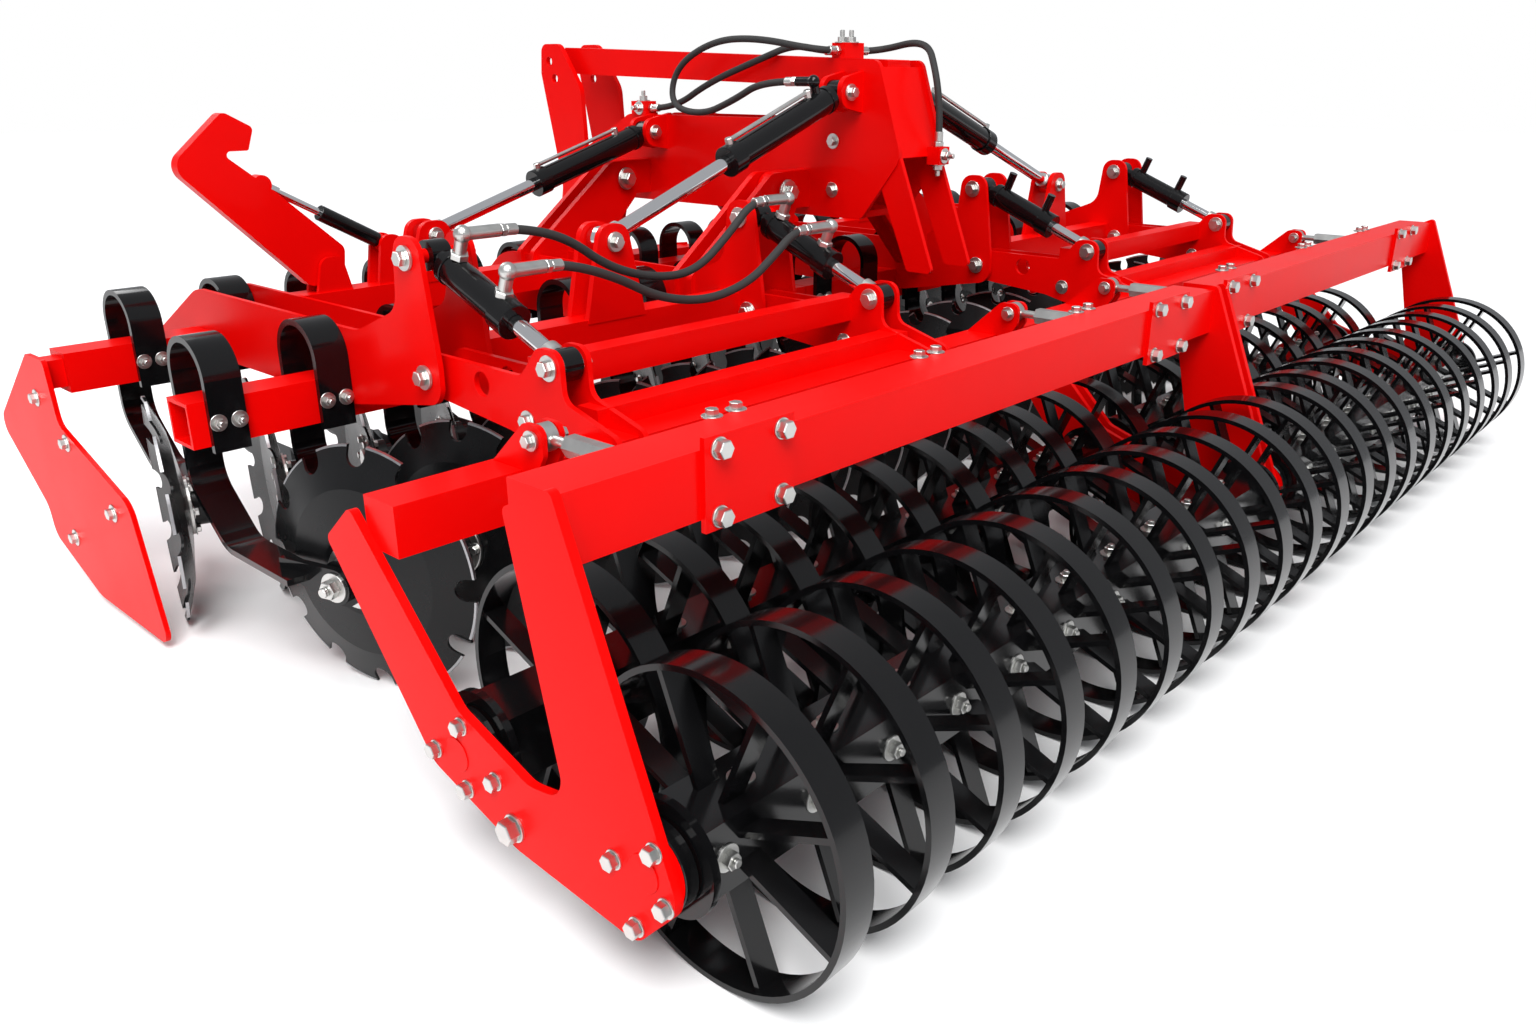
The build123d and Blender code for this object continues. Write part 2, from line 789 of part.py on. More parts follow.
def depth_port(x, distance):
    """Top of a port's stem, the given distance along a depth barrel."""
    base = (x, ahead(upright_pin), upright_pin_z)
    eye = (x, ahead(clevis), clevis_z)
    axis = cylinder_axis(base, eye)
    upward = Vector(1, 0, 0).cross(axis) * -1
    return Vector(*base) + axis * distance + upward * (depth_barrel_radius + port_rise)


def fold_port_top():
    """Top of the port's stem on the left rear fold barrel."""
    base, eye = fold_ends(-1, "rear")
    axis = cylinder_axis(base, eye)
    upward = Vector(0, 1, 0).cross(axis)
    return Vector(*base) + axis * fold_port + upward * (fold_barrel_radius + fold_port_rise)


for side in (-1, 1):
    for place in ("rear", "front"):
        base, eye = fold_ends(side, place)
        with BuildPart() as fold_barrel:
            if side < 0 and place == "rear":
                top = fold_port_top()
                rod(tuple(Vector(*base) + cylinder_axis(base, eye) * fold_port), tuple(top), port_radius)
                rod(tuple(top), tuple(top + Vector(0, fold_elbow_reach, 0)), port_radius)
                with Locations(top):
                    Sphere(elbow_radius)
            barrel(
                base, eye, (0, 1, 0), fold_barrel_radius, fold_barrel_length, fold_bore_start,
                fold_rod_radius + pin_play, fold_eye_radius, fold_eye_width, fold_pin_radius,
            )
        save(fold_barrel, f"{side_name(side)}_{place}_fold_barrel")
        with BuildPart() as fold_rod:
            piston_rod(
                base, eye, (0, 1, 0), fold_rod_radius, fold_barrel_length, fold_rod_overlap,
                fold_eye_radius, fold_eye_width, fold_eye_hole,
            )
        save(fold_rod, f"{side_name(side)}_{place}_fold_rod")
    with BuildPart() as depth_barrels:
        for station, inward in ((outer_station, -side), (inner_station, side)):
            base = (side * station, ahead(upright_pin), upright_pin_z)
            eye = (side * station, ahead(clevis), clevis_z)
            for distance in (port_near, port_far):
                top = depth_port(side * station, distance)
                rod(tuple(Vector(*base) + cylinder_axis(base, eye) * distance), tuple(top), port_radius)
                if side < 0:
                    rod(tuple(top), tuple(top + Vector(inward * elbow_reach, 0, 0)), port_radius)
                    with Locations(top):
                        Sphere(elbow_radius)
            barrel(
                base, eye, (1, 0, 0), depth_barrel_radius, depth_barrel_length, depth_bore_start,
                depth_rod_radius + pin_play, depth_eye_radius, depth_eye_width, depth_pin_radius,
            )
    save(depth_barrels, f"{side_name(side)}_depth_barrels")
    with BuildPart() as depth_rods:
        for station in (outer_station, inner_station):
            base = (side * station, ahead(upright_pin), upright_pin_z)
            eye = (side * station, ahead(clevis), clevis_z)
            piston_rod(
                base, eye, (1, 0, 0), depth_rod_radius, depth_barrel_length, depth_rod_overlap,
                depth_eye_radius, depth_eye_width, depth_eye_hole,
            )
    save(depth_rods, f"{side_name(side)}_depth_rods")


# Mast with the headstock
def mast_side(x):
    outline = row_y([
        (1180, 880),
        (2500, 880),
        (2500, 1010),
        (2200, 1160),
        (1340, 1160),
        (1270, 1325),
        (1130, 1325),
        (1040, 1060),
    ])
    plate(plane_x(x), outline, mast_plate, [30, 20, 60, 60, 40, 30, 30, 60])


def mast_leg(x):
    """Leg that reaches down behind the mast's rear end."""
    outline = row_y([(1060, 1090), (1150, 1060), (1010, leg_foot_z), (920, leg_foot_z)])
    plate(plane_x(x), outline, mast_plate, 12)


def tower_side(x):
    outline = row_y([
        (2560, 470),
        (2660, 500),
        (2660, 640),
        (2600, 900),
        (2690, 1290),
        (2680, 1390),
        (2580, 1390),
        (2470, 1240),
        (2450, 880),
        (2520, 640),
    ])
    plate(plane_x(x), outline, tower_plate, [20, 20, 60, 100, 40, 30, 40, 80, 80, 60])


with BuildPart() as mast:
    for sign in (-1, 1):
        mast_side(sign * mast_half_width)
        tower_side(sign * tower_half_width)
    top_outline = row_y([(1140, 1245), (1140, 1325), (2600, 1378), (2600, 1290)])
    plate(plane_x(0), top_outline, top_beam_width, 4)
    floor_outline = row_y([(1180, 884), (2500, 884), (2500, 904), (1180, 904)])
    plate(plane_x(0), floor_outline, 2 * mast_half_width, 2)
    rear_outline = row_y([(1050, 1060), (1066, 1056), (1150, 1300), (1134, 1306)])
    plate(plane_x(0), rear_outline, 2 * mast_half_width, 1)
    bar_x(-lower_link_half_span - 60, lower_link_half_span + 60, ahead(hitch_beam_ahead), lower_link_z,
          hitch_beam, hitch_beam)
    for sign in (-1, 1):
        for offset in (-hitch_ear_gap / 2, hitch_ear_gap / 2):
            nose = hitch_nose - lower_link
            ear = row_y([
                (hitch_beam_ahead, lower_link_z - nose - 20),
                (lower_link + nose, lower_link_z - nose),
                (lower_link + nose, lower_link_z + nose),
                (hitch_beam_ahead, lower_link_z + nose + 20),
            ])
            plate(plane_x(sign * lower_link_half_span + offset), ear, hitch_ear_thickness,
                  [2, nose - 2, nose - 2, 2])
    for distance in (hinge_rear, hinge_front):
        y = ahead(distance)
        lug = [
            (-hinge_x - hinge_ear_radius, hinge_z - hinge_ear_radius),
            (hinge_x + hinge_ear_radius, hinge_z - hinge_ear_radius),
            (hinge_x + hinge_ear_radius, hinge_z + hinge_ear_radius),
            (-hinge_x - hinge_ear_radius, hinge_z + hinge_ear_radius),
        ]
        plate(plane_y(y), lug, hinge_lug_thickness, hinge_ear_radius - 2)
        reach = hinge_lug_thickness / 2 + hinge_side_gap + hinge_ear_thickness + 8
        for sign in (-1, 1):
            rod((sign * hinge_x, y - reach, hinge_z), (sign * hinge_x, y + reach, hinge_z), hinge_pin_radius)
    for sign in (-1, 1):
        for distance, pin_z in ((fold_rear, rear_mast_pin_z), (fold_front, front_mast_pin_z)):
            y = ahead(distance)
            step = fold_eye_width / 2 + eye_side_gap + lug_ear_thickness / 2
            ear = [
                (sign * (mast_half_width - mast_plate), pin_z - 60),
                (sign * (mast_pin_x + 38), pin_z - 38),
                (sign * (mast_pin_x + 38), pin_z + 38),
                (sign * (mast_half_width - mast_plate), pin_z + 60),
            ]
            for offset in (-step, step):
                plate(plane_y(y + offset), ear, lug_ear_thickness, [2, 36, 36, 2])
            rod((sign * mast_pin_x, y - step, pin_z), (sign * mast_pin_x, y + step, pin_z), fold_pin_radius)
        mast_leg(sign * leg_x)
    for place, size in (
        ((0, ahead(manifold), manifold_z), manifold_size),
        ((-mast_half_width, ahead(front_block), front_block_z), front_block_size),
        ((tee_x, ahead(tee), tee_z), tee_size),
    ):
        with Locations(place):
            Box(*size)
    for distance, height in ((top_link, top_link_z), (low_link_hole, low_link_hole_z)):
        start = (-2 * tower_half_width, ahead(distance), height)
        end = (2 * tower_half_width, ahead(distance), height)
        rod(start, end, top_link_radius, mode=Mode.SUBTRACT)
    bore_end = lower_link_half_span + hitch_ear_gap
    bore_y = ahead(lower_link)
    rod((-bore_end, bore_y, lower_link_z), (bore_end, bore_y, lower_link_z), lower_link_radius,
        mode=Mode.SUBTRACT)
save(mast, "mast")


# Hydraulic hoses
def hose(points):
    """Hose along straight runs with rounded corners."""
    with BuildLine() as route:
        FilletPolyline(*points, radius=hose_bend)
    with BuildSketch(Plane(origin=route.line @ 0, z_dir=route.line % 0)) as section:
        Circle(hose_radius)
    sweep(section.sketch, path=route.line)


with BuildPart() as wing_hoses:
    for distance, dips in (
        (port_near, ((-1298, 950), (-1180, 870), (-1030, 828), (-900, 832), (-780, 915))),
        (port_far, ((-1290, 880), (-1160, 815), (-1010, 790), (-870, 815), (-780, 868))),
    ):
        first = depth_port(-outer_station, distance) + Vector(elbow_reach, 0, 0)
        last = depth_port(-inner_station, distance) - Vector(elbow_reach, 0, 0)
        lead = Vector(hose_lead, 0, 0)
        dip_points = [(x, first.Y, z) for x, z in dips]
        hose([tuple(first), tuple(first + lead), *dip_points, tuple(last - lead), tuple(last)])
save(wing_hoses, "left_wing_hoses")

with BuildPart() as mast_hoses:
    block_side = manifold_size[0] / 2
    fold_elbow = fold_port_top() + Vector(0, fold_elbow_reach + hose_end_gap, 0)
    hose([
        (-block_side, ahead(manifold), manifold_z),
        (-block_side - 2 * hose_lead, ahead(manifold), manifold_z),
        (-155, ahead(1560), 1390),
        (-140, ahead(1760), 1385),
        (-135, ahead(1935), 1310),
        (-155, ahead(1945), 1190),
        (-190, ahead(1760), 1165),
        (-250, ahead(1560), 1215),
        (fold_elbow.X, ahead(1420), fold_elbow.Z),
        tuple(fold_elbow),
    ])
    front_face = ahead(manifold) + manifold_size[1] / 2
    block_back = ahead(front_block) - front_block_size[1] / 2
    hose([
        (-block_side / 2, front_face, manifold_z),
        (-block_side / 2, front_face + hose_lead, manifold_z),
        (-block_side, front_face + 3 * hose_lead, manifold_z + 20),
        (-95, ahead(1600), 1330),
        (-100, ahead(1820), 1262),
        (-mast_half_width, ahead(1980), front_block_z),
        (-mast_half_width, block_back, front_block_z),
    ])
    hose([
        (block_side, ahead(manifold), manifold_z),
        (block_side + 2 * hose_lead, ahead(manifold), manifold_z),
        (120, ahead(1130), 1385),
        (tee_x, ahead(1050), 1290),
        (tee_x, ahead(tee), 1180),
        (tee_x, ahead(tee), tee_z + tee_size[2] / 2),
    ])
save(mast_hoses, "mast_hoses")
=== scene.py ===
"""Studio scene for a folding disc harrow: finishes, fasteners, hydraulics, stage and camera."""

import json
import math

import bmesh
import bpy
from bpy.props import FloatProperty, FloatVectorProperty, IntProperty, PointerProperty
from mathutils import Matrix, Vector


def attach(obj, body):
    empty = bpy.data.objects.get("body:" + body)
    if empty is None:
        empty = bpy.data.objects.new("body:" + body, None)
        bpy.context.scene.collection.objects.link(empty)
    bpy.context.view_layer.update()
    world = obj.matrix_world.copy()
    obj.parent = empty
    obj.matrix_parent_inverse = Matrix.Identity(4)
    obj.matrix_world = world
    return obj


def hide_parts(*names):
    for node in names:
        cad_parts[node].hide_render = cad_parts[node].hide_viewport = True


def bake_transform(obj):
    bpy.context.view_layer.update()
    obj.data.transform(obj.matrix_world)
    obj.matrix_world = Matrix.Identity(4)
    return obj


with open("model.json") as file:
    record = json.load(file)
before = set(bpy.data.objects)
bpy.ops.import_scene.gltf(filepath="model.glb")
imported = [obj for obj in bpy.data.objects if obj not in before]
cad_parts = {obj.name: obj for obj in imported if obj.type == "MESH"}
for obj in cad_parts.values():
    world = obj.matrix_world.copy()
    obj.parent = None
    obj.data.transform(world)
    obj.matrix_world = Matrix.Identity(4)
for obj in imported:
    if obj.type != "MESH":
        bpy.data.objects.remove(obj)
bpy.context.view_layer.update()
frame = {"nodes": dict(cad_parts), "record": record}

bl_info = {
    "name": "Folding disc harrow",
    "version": (1, 0, 0),
    "blender": (4, 5, 0),
    "location": "View3D > Sidebar > Harrow",
    "description": "Dresses the packed disc harrow with finishes, fasteners and hydraulics",
    "category": "Object",
}

SIDES = ((-1, "left"), (1, "right"))
MM = 0.001
REAR_AXLE_Y = -1245.0
DISC_ROWS = {"rear": (-1782.0, 1190.0), "front": (-1938.0, 1905.0)}
DISCS_PER_ROW = 16
DISC_PITCH = 250.0
DISC_RADIUS = 280.0
DISC_YAW = 17.0
NOTCHES = 12
NOTCH_HALF = 25.0
ARM_OFFSET = 140.0
SPRING_REACH = 345.0
SPRING_THICKNESS = 14.0
HUB_PLATE_FACE = 116.0
END_FACE = 2070.0
RING_RADIUS = 260.0
ROLLER_SPACING = 445.0
STATIONS = (1562.5, 562.5)
TURNBUCKLES = (1780.0, 264.0)
TURNBUCKLE_EYE = 548.0
TURNBUCKLE_Z = 706.0
CROSS_TUBE_Z = 712.0
SPRING_BOLT_Z = 587.0
SPLICES = (1690.0, 215.0)
SPLICE_FACE = 150.0
ARM_FACE = 39.0  # outside of a linkage arm's ears, from the station
ARCH_FACE = 68.5  # outside of the paired arch plates, from the station
MAST_PIN_X = 170.0
MAST_FACE = 111.0
HINGE_X = 250.0
HINGE_Z = 960.0
DEFLECTOR_FACE = 2054.0

# Places seen from the side, as distance ahead of the rear roller axle and height
END_BOLTS = ((62, 252), (-24, 306), (19, 160), (-44, 226), (425, 320), (506, 246), (341, 256), (422, 206))
BIG_END_BOLT = (300, 190)
DEPTH_PIN = (1180, 930)
DEPTH_EYE = (763, 759)
ARCH_PIN = (1150, 683)
ARM_BOLTS = ((840, 640), (660, 600))
DEFLECTOR_BOLTS = ((2293, 517), (2132, 430), (1895, 304), (2221, 155))
MAST_BOLTS = ((1290, 1100), (1290, 960), (1520, 1100), (2390, 930))
HINGES = (1400, 2120)

# Fold cylinders: distance ahead, mast pin's height, lug's X and lug's height
FOLD_CYLINDERS = {"rear": (1225.0, 1238.0, 1066.0, 908.0), "front": (2050.0, 1107.0, 1036.0, 850.0)}
STUD_PLACES = (1620.0, 1046.0, 420.0)
PORT_PLACES = (82.0, 240.0)
PORT_HEIGHT = 89.0
LOCK_CYLINDER = ((-1173, 2050, 835), (-1511, 2050, 1020))
MANIFOLD_FITTINGS = ((-28, 1330), (0, 1318), (28, 1340))
MANIFOLD_TOP = 1374.0
BLOCK_FITTINGS = (
    ((-104, 2130, 1202), (0, 0, 1)), ((-129, 2125, 1180), (-1, 0, 0)),
    ((60, 1008, 1062), (0, -1, 0)), ((60, 1030, 1037), (0, 0, -1)),
)
RING_PITCH = 192.0
FIRST_RING = -1922.0
SPLIT = 94.0

# Hose routes in millimetres, with Y counted ahead of the rear roller axle
WING_HOSES = {
    "wing_hose_upper": (
        (-1472.5, 1070.4, 981.2), (-1422.5, 1070.4, 981.2), (-1298, 1070.4, 950), (-1180, 1070.4, 870),
        (-1030, 1070.4, 828), (-900, 1070.4, 832), (-780, 1070.4, 915), (-702.5, 1070.4, 981.2),
        (-652.5, 1070.4, 981.2),
    ),
    "wing_hose_lower": (
        (-1472.5, 924.2, 921.3), (-1422.5, 924.2, 921.3), (-1290, 924.2, 880), (-1160, 924.2, 815),
        (-1010, 924.2, 790), (-870, 924.2, 815), (-780, 924.2, 868), (-702.5, 924.2, 921.3),
        (-652.5, 924.2, 921.3),
    ),
}
MAST_HOSES = {
    "mast_hose_front": (
        (-22.5, 1355, 1352), (-22.5, 1405, 1352), (-45, 1505, 1372), (-95, 1600, 1330),
        (-100, 1820, 1262), (-104, 1980, 1180), (-104, 2095, 1180),
    ),
    "mast_hose_rear": (
        (45, 1330, 1352), (145, 1330, 1352), (120, 1130, 1385), (60, 1050, 1290), (60, 1030, 1180),
        (60, 1030, 1087),
    ),
}
FOLD_HOSE = (
    (-45, 1330, 1352), (-145, 1330, 1352), (-155, 1560, 1390), (-140, 1760, 1385), (-135, 1935, 1310),
    (-155, 1945, 1190), (-190, 1760, 1165), (-250, 1560, 1215), (-282.0, 1420, 1267.1),
    (-282.0, 1285.5, 1267.1),
)


def colour(name, description, default):
    """Colour property with a plain name."""
    return FloatVectorProperty(
        name=name, description=description, subtype="COLOR", size=3, min=0.0, max=1.0, default=default
    )


def length(name, description, default):
    """Length property in metres."""
    return FloatProperty(name=name, description=description, unit="LENGTH", default=default)


class HarrowFinish(bpy.types.PropertyGroup):
    red: colour("Frame red", "Gloss paint on frames and mast", (0.74, 0.0012, 0.0008))
    black: colour("Gloss black", "Paint on springs and rollers", (0.0032, 0.0032, 0.0036))
    disc: colour("Disc steel", "Dark coat on the discs", (0.0042, 0.0043, 0.0047))
    zinc: colour("Zinc", "Plating on bolts and turnbuckles", (0.60, 0.60, 0.58))
    edge: colour("Ground edge", "Bare steel on the discs' cutting edges", (0.38, 0.38, 0.39))
    hose: colour("Hose", "Rubber on the hydraulic hoses", (0.0024, 0.0024, 0.0027))


class HarrowSizes(bpy.types.PropertyGroup):
    edge_round: length("Edge rounding", "Radius on cut plate edges", 0.0022)
    bolt_small: length("Small bolt", "Across flats of the small bolts", 0.024)
    bolt_large: length("Large bolt", "Across flats of the large bolts", 0.036)
    hose: length("Hose", "Outside diameter of the hoses", 0.020)
    hub_bolts: IntProperty(name="Hub bolts", description="Bolts that hold a disc to its hub", default=6)


class HarrowStage(bpy.types.PropertyGroup):
    lens: FloatProperty(name="Lens", description="Focal length in millimetres", default=27.4)
    camera_place: FloatVectorProperty(
        name="Camera", description="Camera position", subtype="TRANSLATION", default=(-2.936, -2.263, 1.283)
    )
    yaw: FloatProperty(name="Yaw", description="View direction from forward", subtype="ANGLE",
                       default=math.radians(47.708))
    floor: colour("Floor", "Pale studio floor", (0.93, 0.93, 0.93))
    ambient: colour("Ambient", "Light that comes from all round", (0.46, 0.47, 0.49))
    pitch: FloatProperty(name="Pitch", description="View direction below level", subtype="ANGLE",
                         default=math.radians(20.475))


# Node groups and materials
def new_group(name, inputs, outputs):
    """Empty shader node group with named sockets."""
    group = bpy.data.node_groups.new(name, "ShaderNodeTree")
    for label, kind, default in inputs:
        socket = group.interface.new_socket(label, in_out="INPUT", socket_type=kind)
        socket.default_value = default
    for label, kind in outputs:
        group.interface.new_socket(label, in_out="OUTPUT", socket_type=kind)
    return group, group.nodes.new("NodeGroupInput"), group.nodes.new("NodeGroupOutput")


def node(tree, kind, **settings):
    """Node with its settings and input values."""
    made = tree.nodes.new(kind)
    for key, value in settings.items():
        if key.startswith("in_"):
            made.inputs[key[3:].replace("_", " ")].default_value = value
        else:
            setattr(made, key, value)
    return made


def math_node(tree, operation, first, second, clamp=False):
    """Math node fed by sockets or numbers."""
    made = node(tree, "ShaderNodeMath", operation=operation, use_clamp=clamp)
    for slot, value in enumerate((first, second)):
        if isinstance(value, (int, float)):
            made.inputs[slot].default_value = value
        else:
            tree.links.new(value, made.inputs[slot])
    return made.outputs[0]


def mix_colour(tree, factor, first, second):
    """Colour mix fed by sockets or colours."""
    made = node(tree, "ShaderNodeMix", data_type="RGBA")
    for slot, value in ((0, factor), (6, first), (7, second)):
        if isinstance(value, bpy.types.NodeSocket):
            tree.links.new(value, made.inputs[slot])
        elif isinstance(value, (int, float)):
            made.inputs[slot].default_value = value
        else:
            made.inputs[slot].default_value = (*value[:3], 1.0)
    return made.outputs[2]


def noise(tree, scale, detail=4.0, roughness=0.55):
    """Noise over the object's own coordinates."""
    coords = node(tree, "ShaderNodeTexCoord")
    made = node(tree, "ShaderNodeTexNoise", in_Detail=detail, in_Roughness=roughness)
    tree.links.new(coords.outputs["Object"], made.inputs["Vector"])
    if isinstance(scale, bpy.types.NodeSocket):
        tree.links.new(scale, made.inputs["Scale"])
    else:
        made.inputs["Scale"].default_value = scale
    return made.outputs["Fac"]


def ramp(tree, value, low, high):
    """Value mapped from low to high onto 0 to 1, clamped."""
    made = node(tree, "ShaderNodeMapRange")
    made.inputs["From Min"].default_value = low
    made.inputs["From Max"].default_value = high
    tree.links.new(value, made.inputs["Value"])
    return made.outputs["Result"]


def dust_group():
    """Fine dust on upward faces and in the lower part, with a patchy edge."""
    group, source, sink = new_group(
        "Yard dust",
        (("Colour", "NodeSocketColor", (0.5, 0.5, 0.5, 1.0)), ("Roughness", "NodeSocketFloat", 0.3),
         ("Amount", "NodeSocketFloat", 0.2)),
        (("Colour", "NodeSocketColor"), ("Roughness", "NodeSocketFloat")),
    )
    geometry = node(group, "ShaderNodeNewGeometry")
    split = node(group, "ShaderNodeSeparateXYZ")
    group.links.new(geometry.outputs["Normal"], split.inputs[0])
    height = node(group, "ShaderNodeSeparateXYZ")
    group.links.new(geometry.outputs["Position"], height.inputs[0])
    upward = ramp(group, split.outputs["Z"], 0.2, 1.0)
    low = ramp(group, height.outputs["Z"], 0.35, 0.0)
    patches = ramp(group, noise(group, 7.0, 6.0, 0.62), 0.35, 0.75)
    both = math_node(group, "MAXIMUM", upward, low)
    share = math_node(group, "MULTIPLY", both, patches)
    share = math_node(group, "MULTIPLY", share, source.outputs["Amount"], clamp=True)
    tint = mix_colour(group, share, source.outputs["Colour"], (0.36, 0.32, 0.28))
    group.links.new(tint, sink.inputs["Colour"])
    rough = math_node(group, "MULTIPLY_ADD", share, 0.5)
    group.links.new(source.outputs["Roughness"], rough.node.inputs[2])
    group.links.new(rough, sink.inputs["Roughness"])
    return group


def tone_group():
    """Slow change of tone and gloss over a painted or coated surface."""
    group, source, sink = new_group(
        "Coat tone",
        (("Colour", "NodeSocketColor", (0.5, 0.5, 0.5, 1.0)), ("Roughness", "NodeSocketFloat", 0.3),
         ("Scale", "NodeSocketFloat", 5.0), ("Depth", "NodeSocketFloat", 0.25)),
        (("Colour", "NodeSocketColor"), ("Roughness", "NodeSocketFloat"), ("Height", "NodeSocketFloat")),
    )
    broad = noise(group, source.outputs["Scale"], 3.0)
    fine = noise(group, 240.0, 2.0)
    shade = node(group, "ShaderNodeHueSaturation")
    group.links.new(source.outputs["Colour"], shade.inputs["Color"])
    swing = math_node(group, "MULTIPLY", math_node(group, "SUBTRACT", broad, 0.5), source.outputs["Depth"])
    group.links.new(math_node(group, "ADD", swing, 1.0), shade.inputs["Value"])
    group.links.new(shade.outputs["Color"], sink.inputs["Colour"])
    rough = math_node(group, "MULTIPLY_ADD", swing, 0.6)
    group.links.new(source.outputs["Roughness"], rough.node.inputs[2])
    group.links.new(rough, sink.inputs["Roughness"])
    group.links.new(fine, sink.inputs["Height"])
    return group


def coated(name, base, roughness, metallic=0.0, coat=0.0, scale=5.0, depth=0.25, dust=0.2, bump=0.02,
           specular=0.5):
    """Material of a coated or plated surface with tone, dust and a fine bump."""
    made = bpy.data.materials.new(name)
    made.use_nodes = True
    tree = made.node_tree
    shader = tree.nodes["Principled BSDF"]
    tone = node(tree, "ShaderNodeGroup", node_tree=bpy.data.node_groups["Coat tone"])
    tone.inputs["Colour"].default_value = (*base, 1.0)
    tone.inputs["Roughness"].default_value = roughness
    tone.inputs["Scale"].default_value = scale
    tone.inputs["Depth"].default_value = depth
    film = node(tree, "ShaderNodeGroup", node_tree=bpy.data.node_groups["Yard dust"])
    film.inputs["Amount"].default_value = dust
    tree.links.new(tone.outputs["Colour"], film.inputs["Colour"])
    tree.links.new(tone.outputs["Roughness"], film.inputs["Roughness"])
    tree.links.new(film.outputs["Colour"], shader.inputs["Base Color"])
    tree.links.new(film.outputs["Roughness"], shader.inputs["Roughness"])
    grain = node(tree, "ShaderNodeBump", in_Strength=bump, in_Distance=0.001)
    tree.links.new(tone.outputs["Height"], grain.inputs["Height"])
    tree.links.new(grain.outputs["Normal"], shader.inputs["Normal"])
    shader.inputs["Metallic"].default_value = metallic
    shader.inputs["Coat Weight"].default_value = coat
    shader.inputs["Coat Roughness"].default_value = 0.06
    shader.inputs["Specular IOR Level"].default_value = specular
    made.diffuse_color = (*base, 1.0)
    return made


class HARROW_OT_materials(bpy.types.Operator):
    """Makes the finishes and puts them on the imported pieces"""
    bl_idname = "harrow.materials"
    bl_label = "Finishes"

    def execute(self, context):
        look = context.scene.harrow_finish
        dust_group()
        tone_group()
        coated("frame_red", look.red, 0.32, coat=0.03, depth=0.14, dust=0.006, bump=0.03, specular=0.05)
        coated("gloss_black", look.black, 0.14, coat=0.10, depth=0.4, dust=0.008, bump=0.03, specular=0.3)
        coated("roller_black", look.black, 0.15, coat=0.05, depth=0.4, dust=0.006, bump=0.04, specular=0.28)
        coated("disc_coat", look.disc, 0.26, depth=0.4, scale=9.0, dust=0.008, bump=0.04, specular=0.22)
        coated("barrel_black", look.black, 0.14, coat=0.10, depth=0.15, dust=0.006, bump=0.02, specular=0.3)
        coated("zinc_plate", look.zinc, 0.34, metallic=1.0, depth=0.35, scale=30.0, dust=0.03, bump=0.05)
        coated("ground_steel", look.edge, 0.36, metallic=1.0, depth=0.4, scale=40.0, dust=0.03, bump=0.05)
        coated("chrome_rod", (0.78, 0.78, 0.79), 0.10, metallic=1.0, depth=0.1, dust=0.02, bump=0.0)
        coated("hose_rubber", look.hose, 0.20, coat=0.05, depth=0.3, scale=20.0, dust=0.006, bump=0.05,
               specular=0.25)
        finishes = {
            "red_paint": "frame_red", "black_spring": "gloss_black", "disc_steel": "disc_coat",
            "black_roller": "roller_black", "zinc": "zinc_plate", "chrome_rod": "chrome_rod",
            "black_barrel": "barrel_black", "hose_rubber": "hose_rubber",
        }
        for row in frame["record"]["subparts"]:
            piece = frame["nodes"][row["node"]]
            finish = bpy.data.materials[finishes[row["material_slot"]]]
            piece.data.materials.clear()
            piece.data.materials.append(finish)
        return {"FINISHED"}


class HARROW_OT_edges(bpy.types.Operator):
    """Rounds the cut edges of plates and tubes"""
    bl_idname = "harrow.edges"
    bl_label = "Edge rounding"

    def execute(self, context):
        width = context.scene.harrow_sizes.edge_round
        for name, piece in frame["nodes"].items():
            if not any(word in name for word in ("frame", "mast", "spring", "lock")):
                continue
            merge = piece.modifiers.new("flat_faces", "DECIMATE")
            merge.decimate_type = "DISSOLVE"
            merge.angle_limit = math.radians(1.0)
            edge = piece.modifiers.new("rounded_edges", "BEVEL")
            edge.width = width
            edge.segments = 2
            edge.limit_method = "ANGLE"
            edge.angle_limit = math.radians(40)
            edge.harden_normals = True
        return {"FINISHED"}


# Fasteners, fittings and hoses
def at(x, ahead, z):
    """Point in metres from millimetres, with Y counted ahead of the rear roller axle."""
    return Vector((x * MM, (REAR_AXLE_Y + ahead) * MM, z * MM))


def turned(place, along):
    """Matrix that stands a shape's Z axis on a direction at a place."""
    return Matrix.Translation(place) @ Vector(along).to_track_quat("Z", "Y").to_matrix().to_4x4()


def rings_round(shape, place, along, profile, sides):
    """Rings of points round an axis, one for each height and radius of the profile."""
    stand = turned(place, along)
    loops = []
    for height, radius in profile:
        loop = []
        for step in range(sides):
            angle = 2 * math.pi * step / sides
            spot = Vector((radius * math.cos(angle), radius * math.sin(angle), height))
            loop.append(shape.verts.new(stand @ spot))
        loops.append(loop)
    return loops


def join_rings(shape, pairs):
    """Faces between pairs of rings."""
    for low, high in pairs:
        for step in range(len(low)):
            after = (step + 1) % len(low)
            shape.faces.new((low[step], low[after], high[after], high[step]))


def drum(shape, place, along, radius, start, end, sides=28, chamfer=0.0015):
    """Round or many-sided piece from start to end along a direction, with chamfered rims."""
    rim = radius - chamfer
    profile = ((start, rim), (start + chamfer, radius), (end - chamfer, radius), (end, rim))
    loops = rings_round(shape, place, along, profile, sides)
    join_rings(shape, zip(loops, loops[1:]))
    shape.faces.new(list(reversed(loops[0])))
    shape.faces.new(loops[-1])


def collar(shape, place, along, outer, inner, start, end, sides=36, chamfer=0.0015):
    """Open ring round an axis, with chamfered rims."""
    rim = outer - chamfer
    profile = ((start, inner), (start, rim), (start + chamfer, outer), (end - chamfer, outer), (end, rim),
               (end, inner))
    loops = rings_round(shape, place, along, profile, sides)
    join_rings(shape, zip(loops, loops[1:] + loops[:1]))


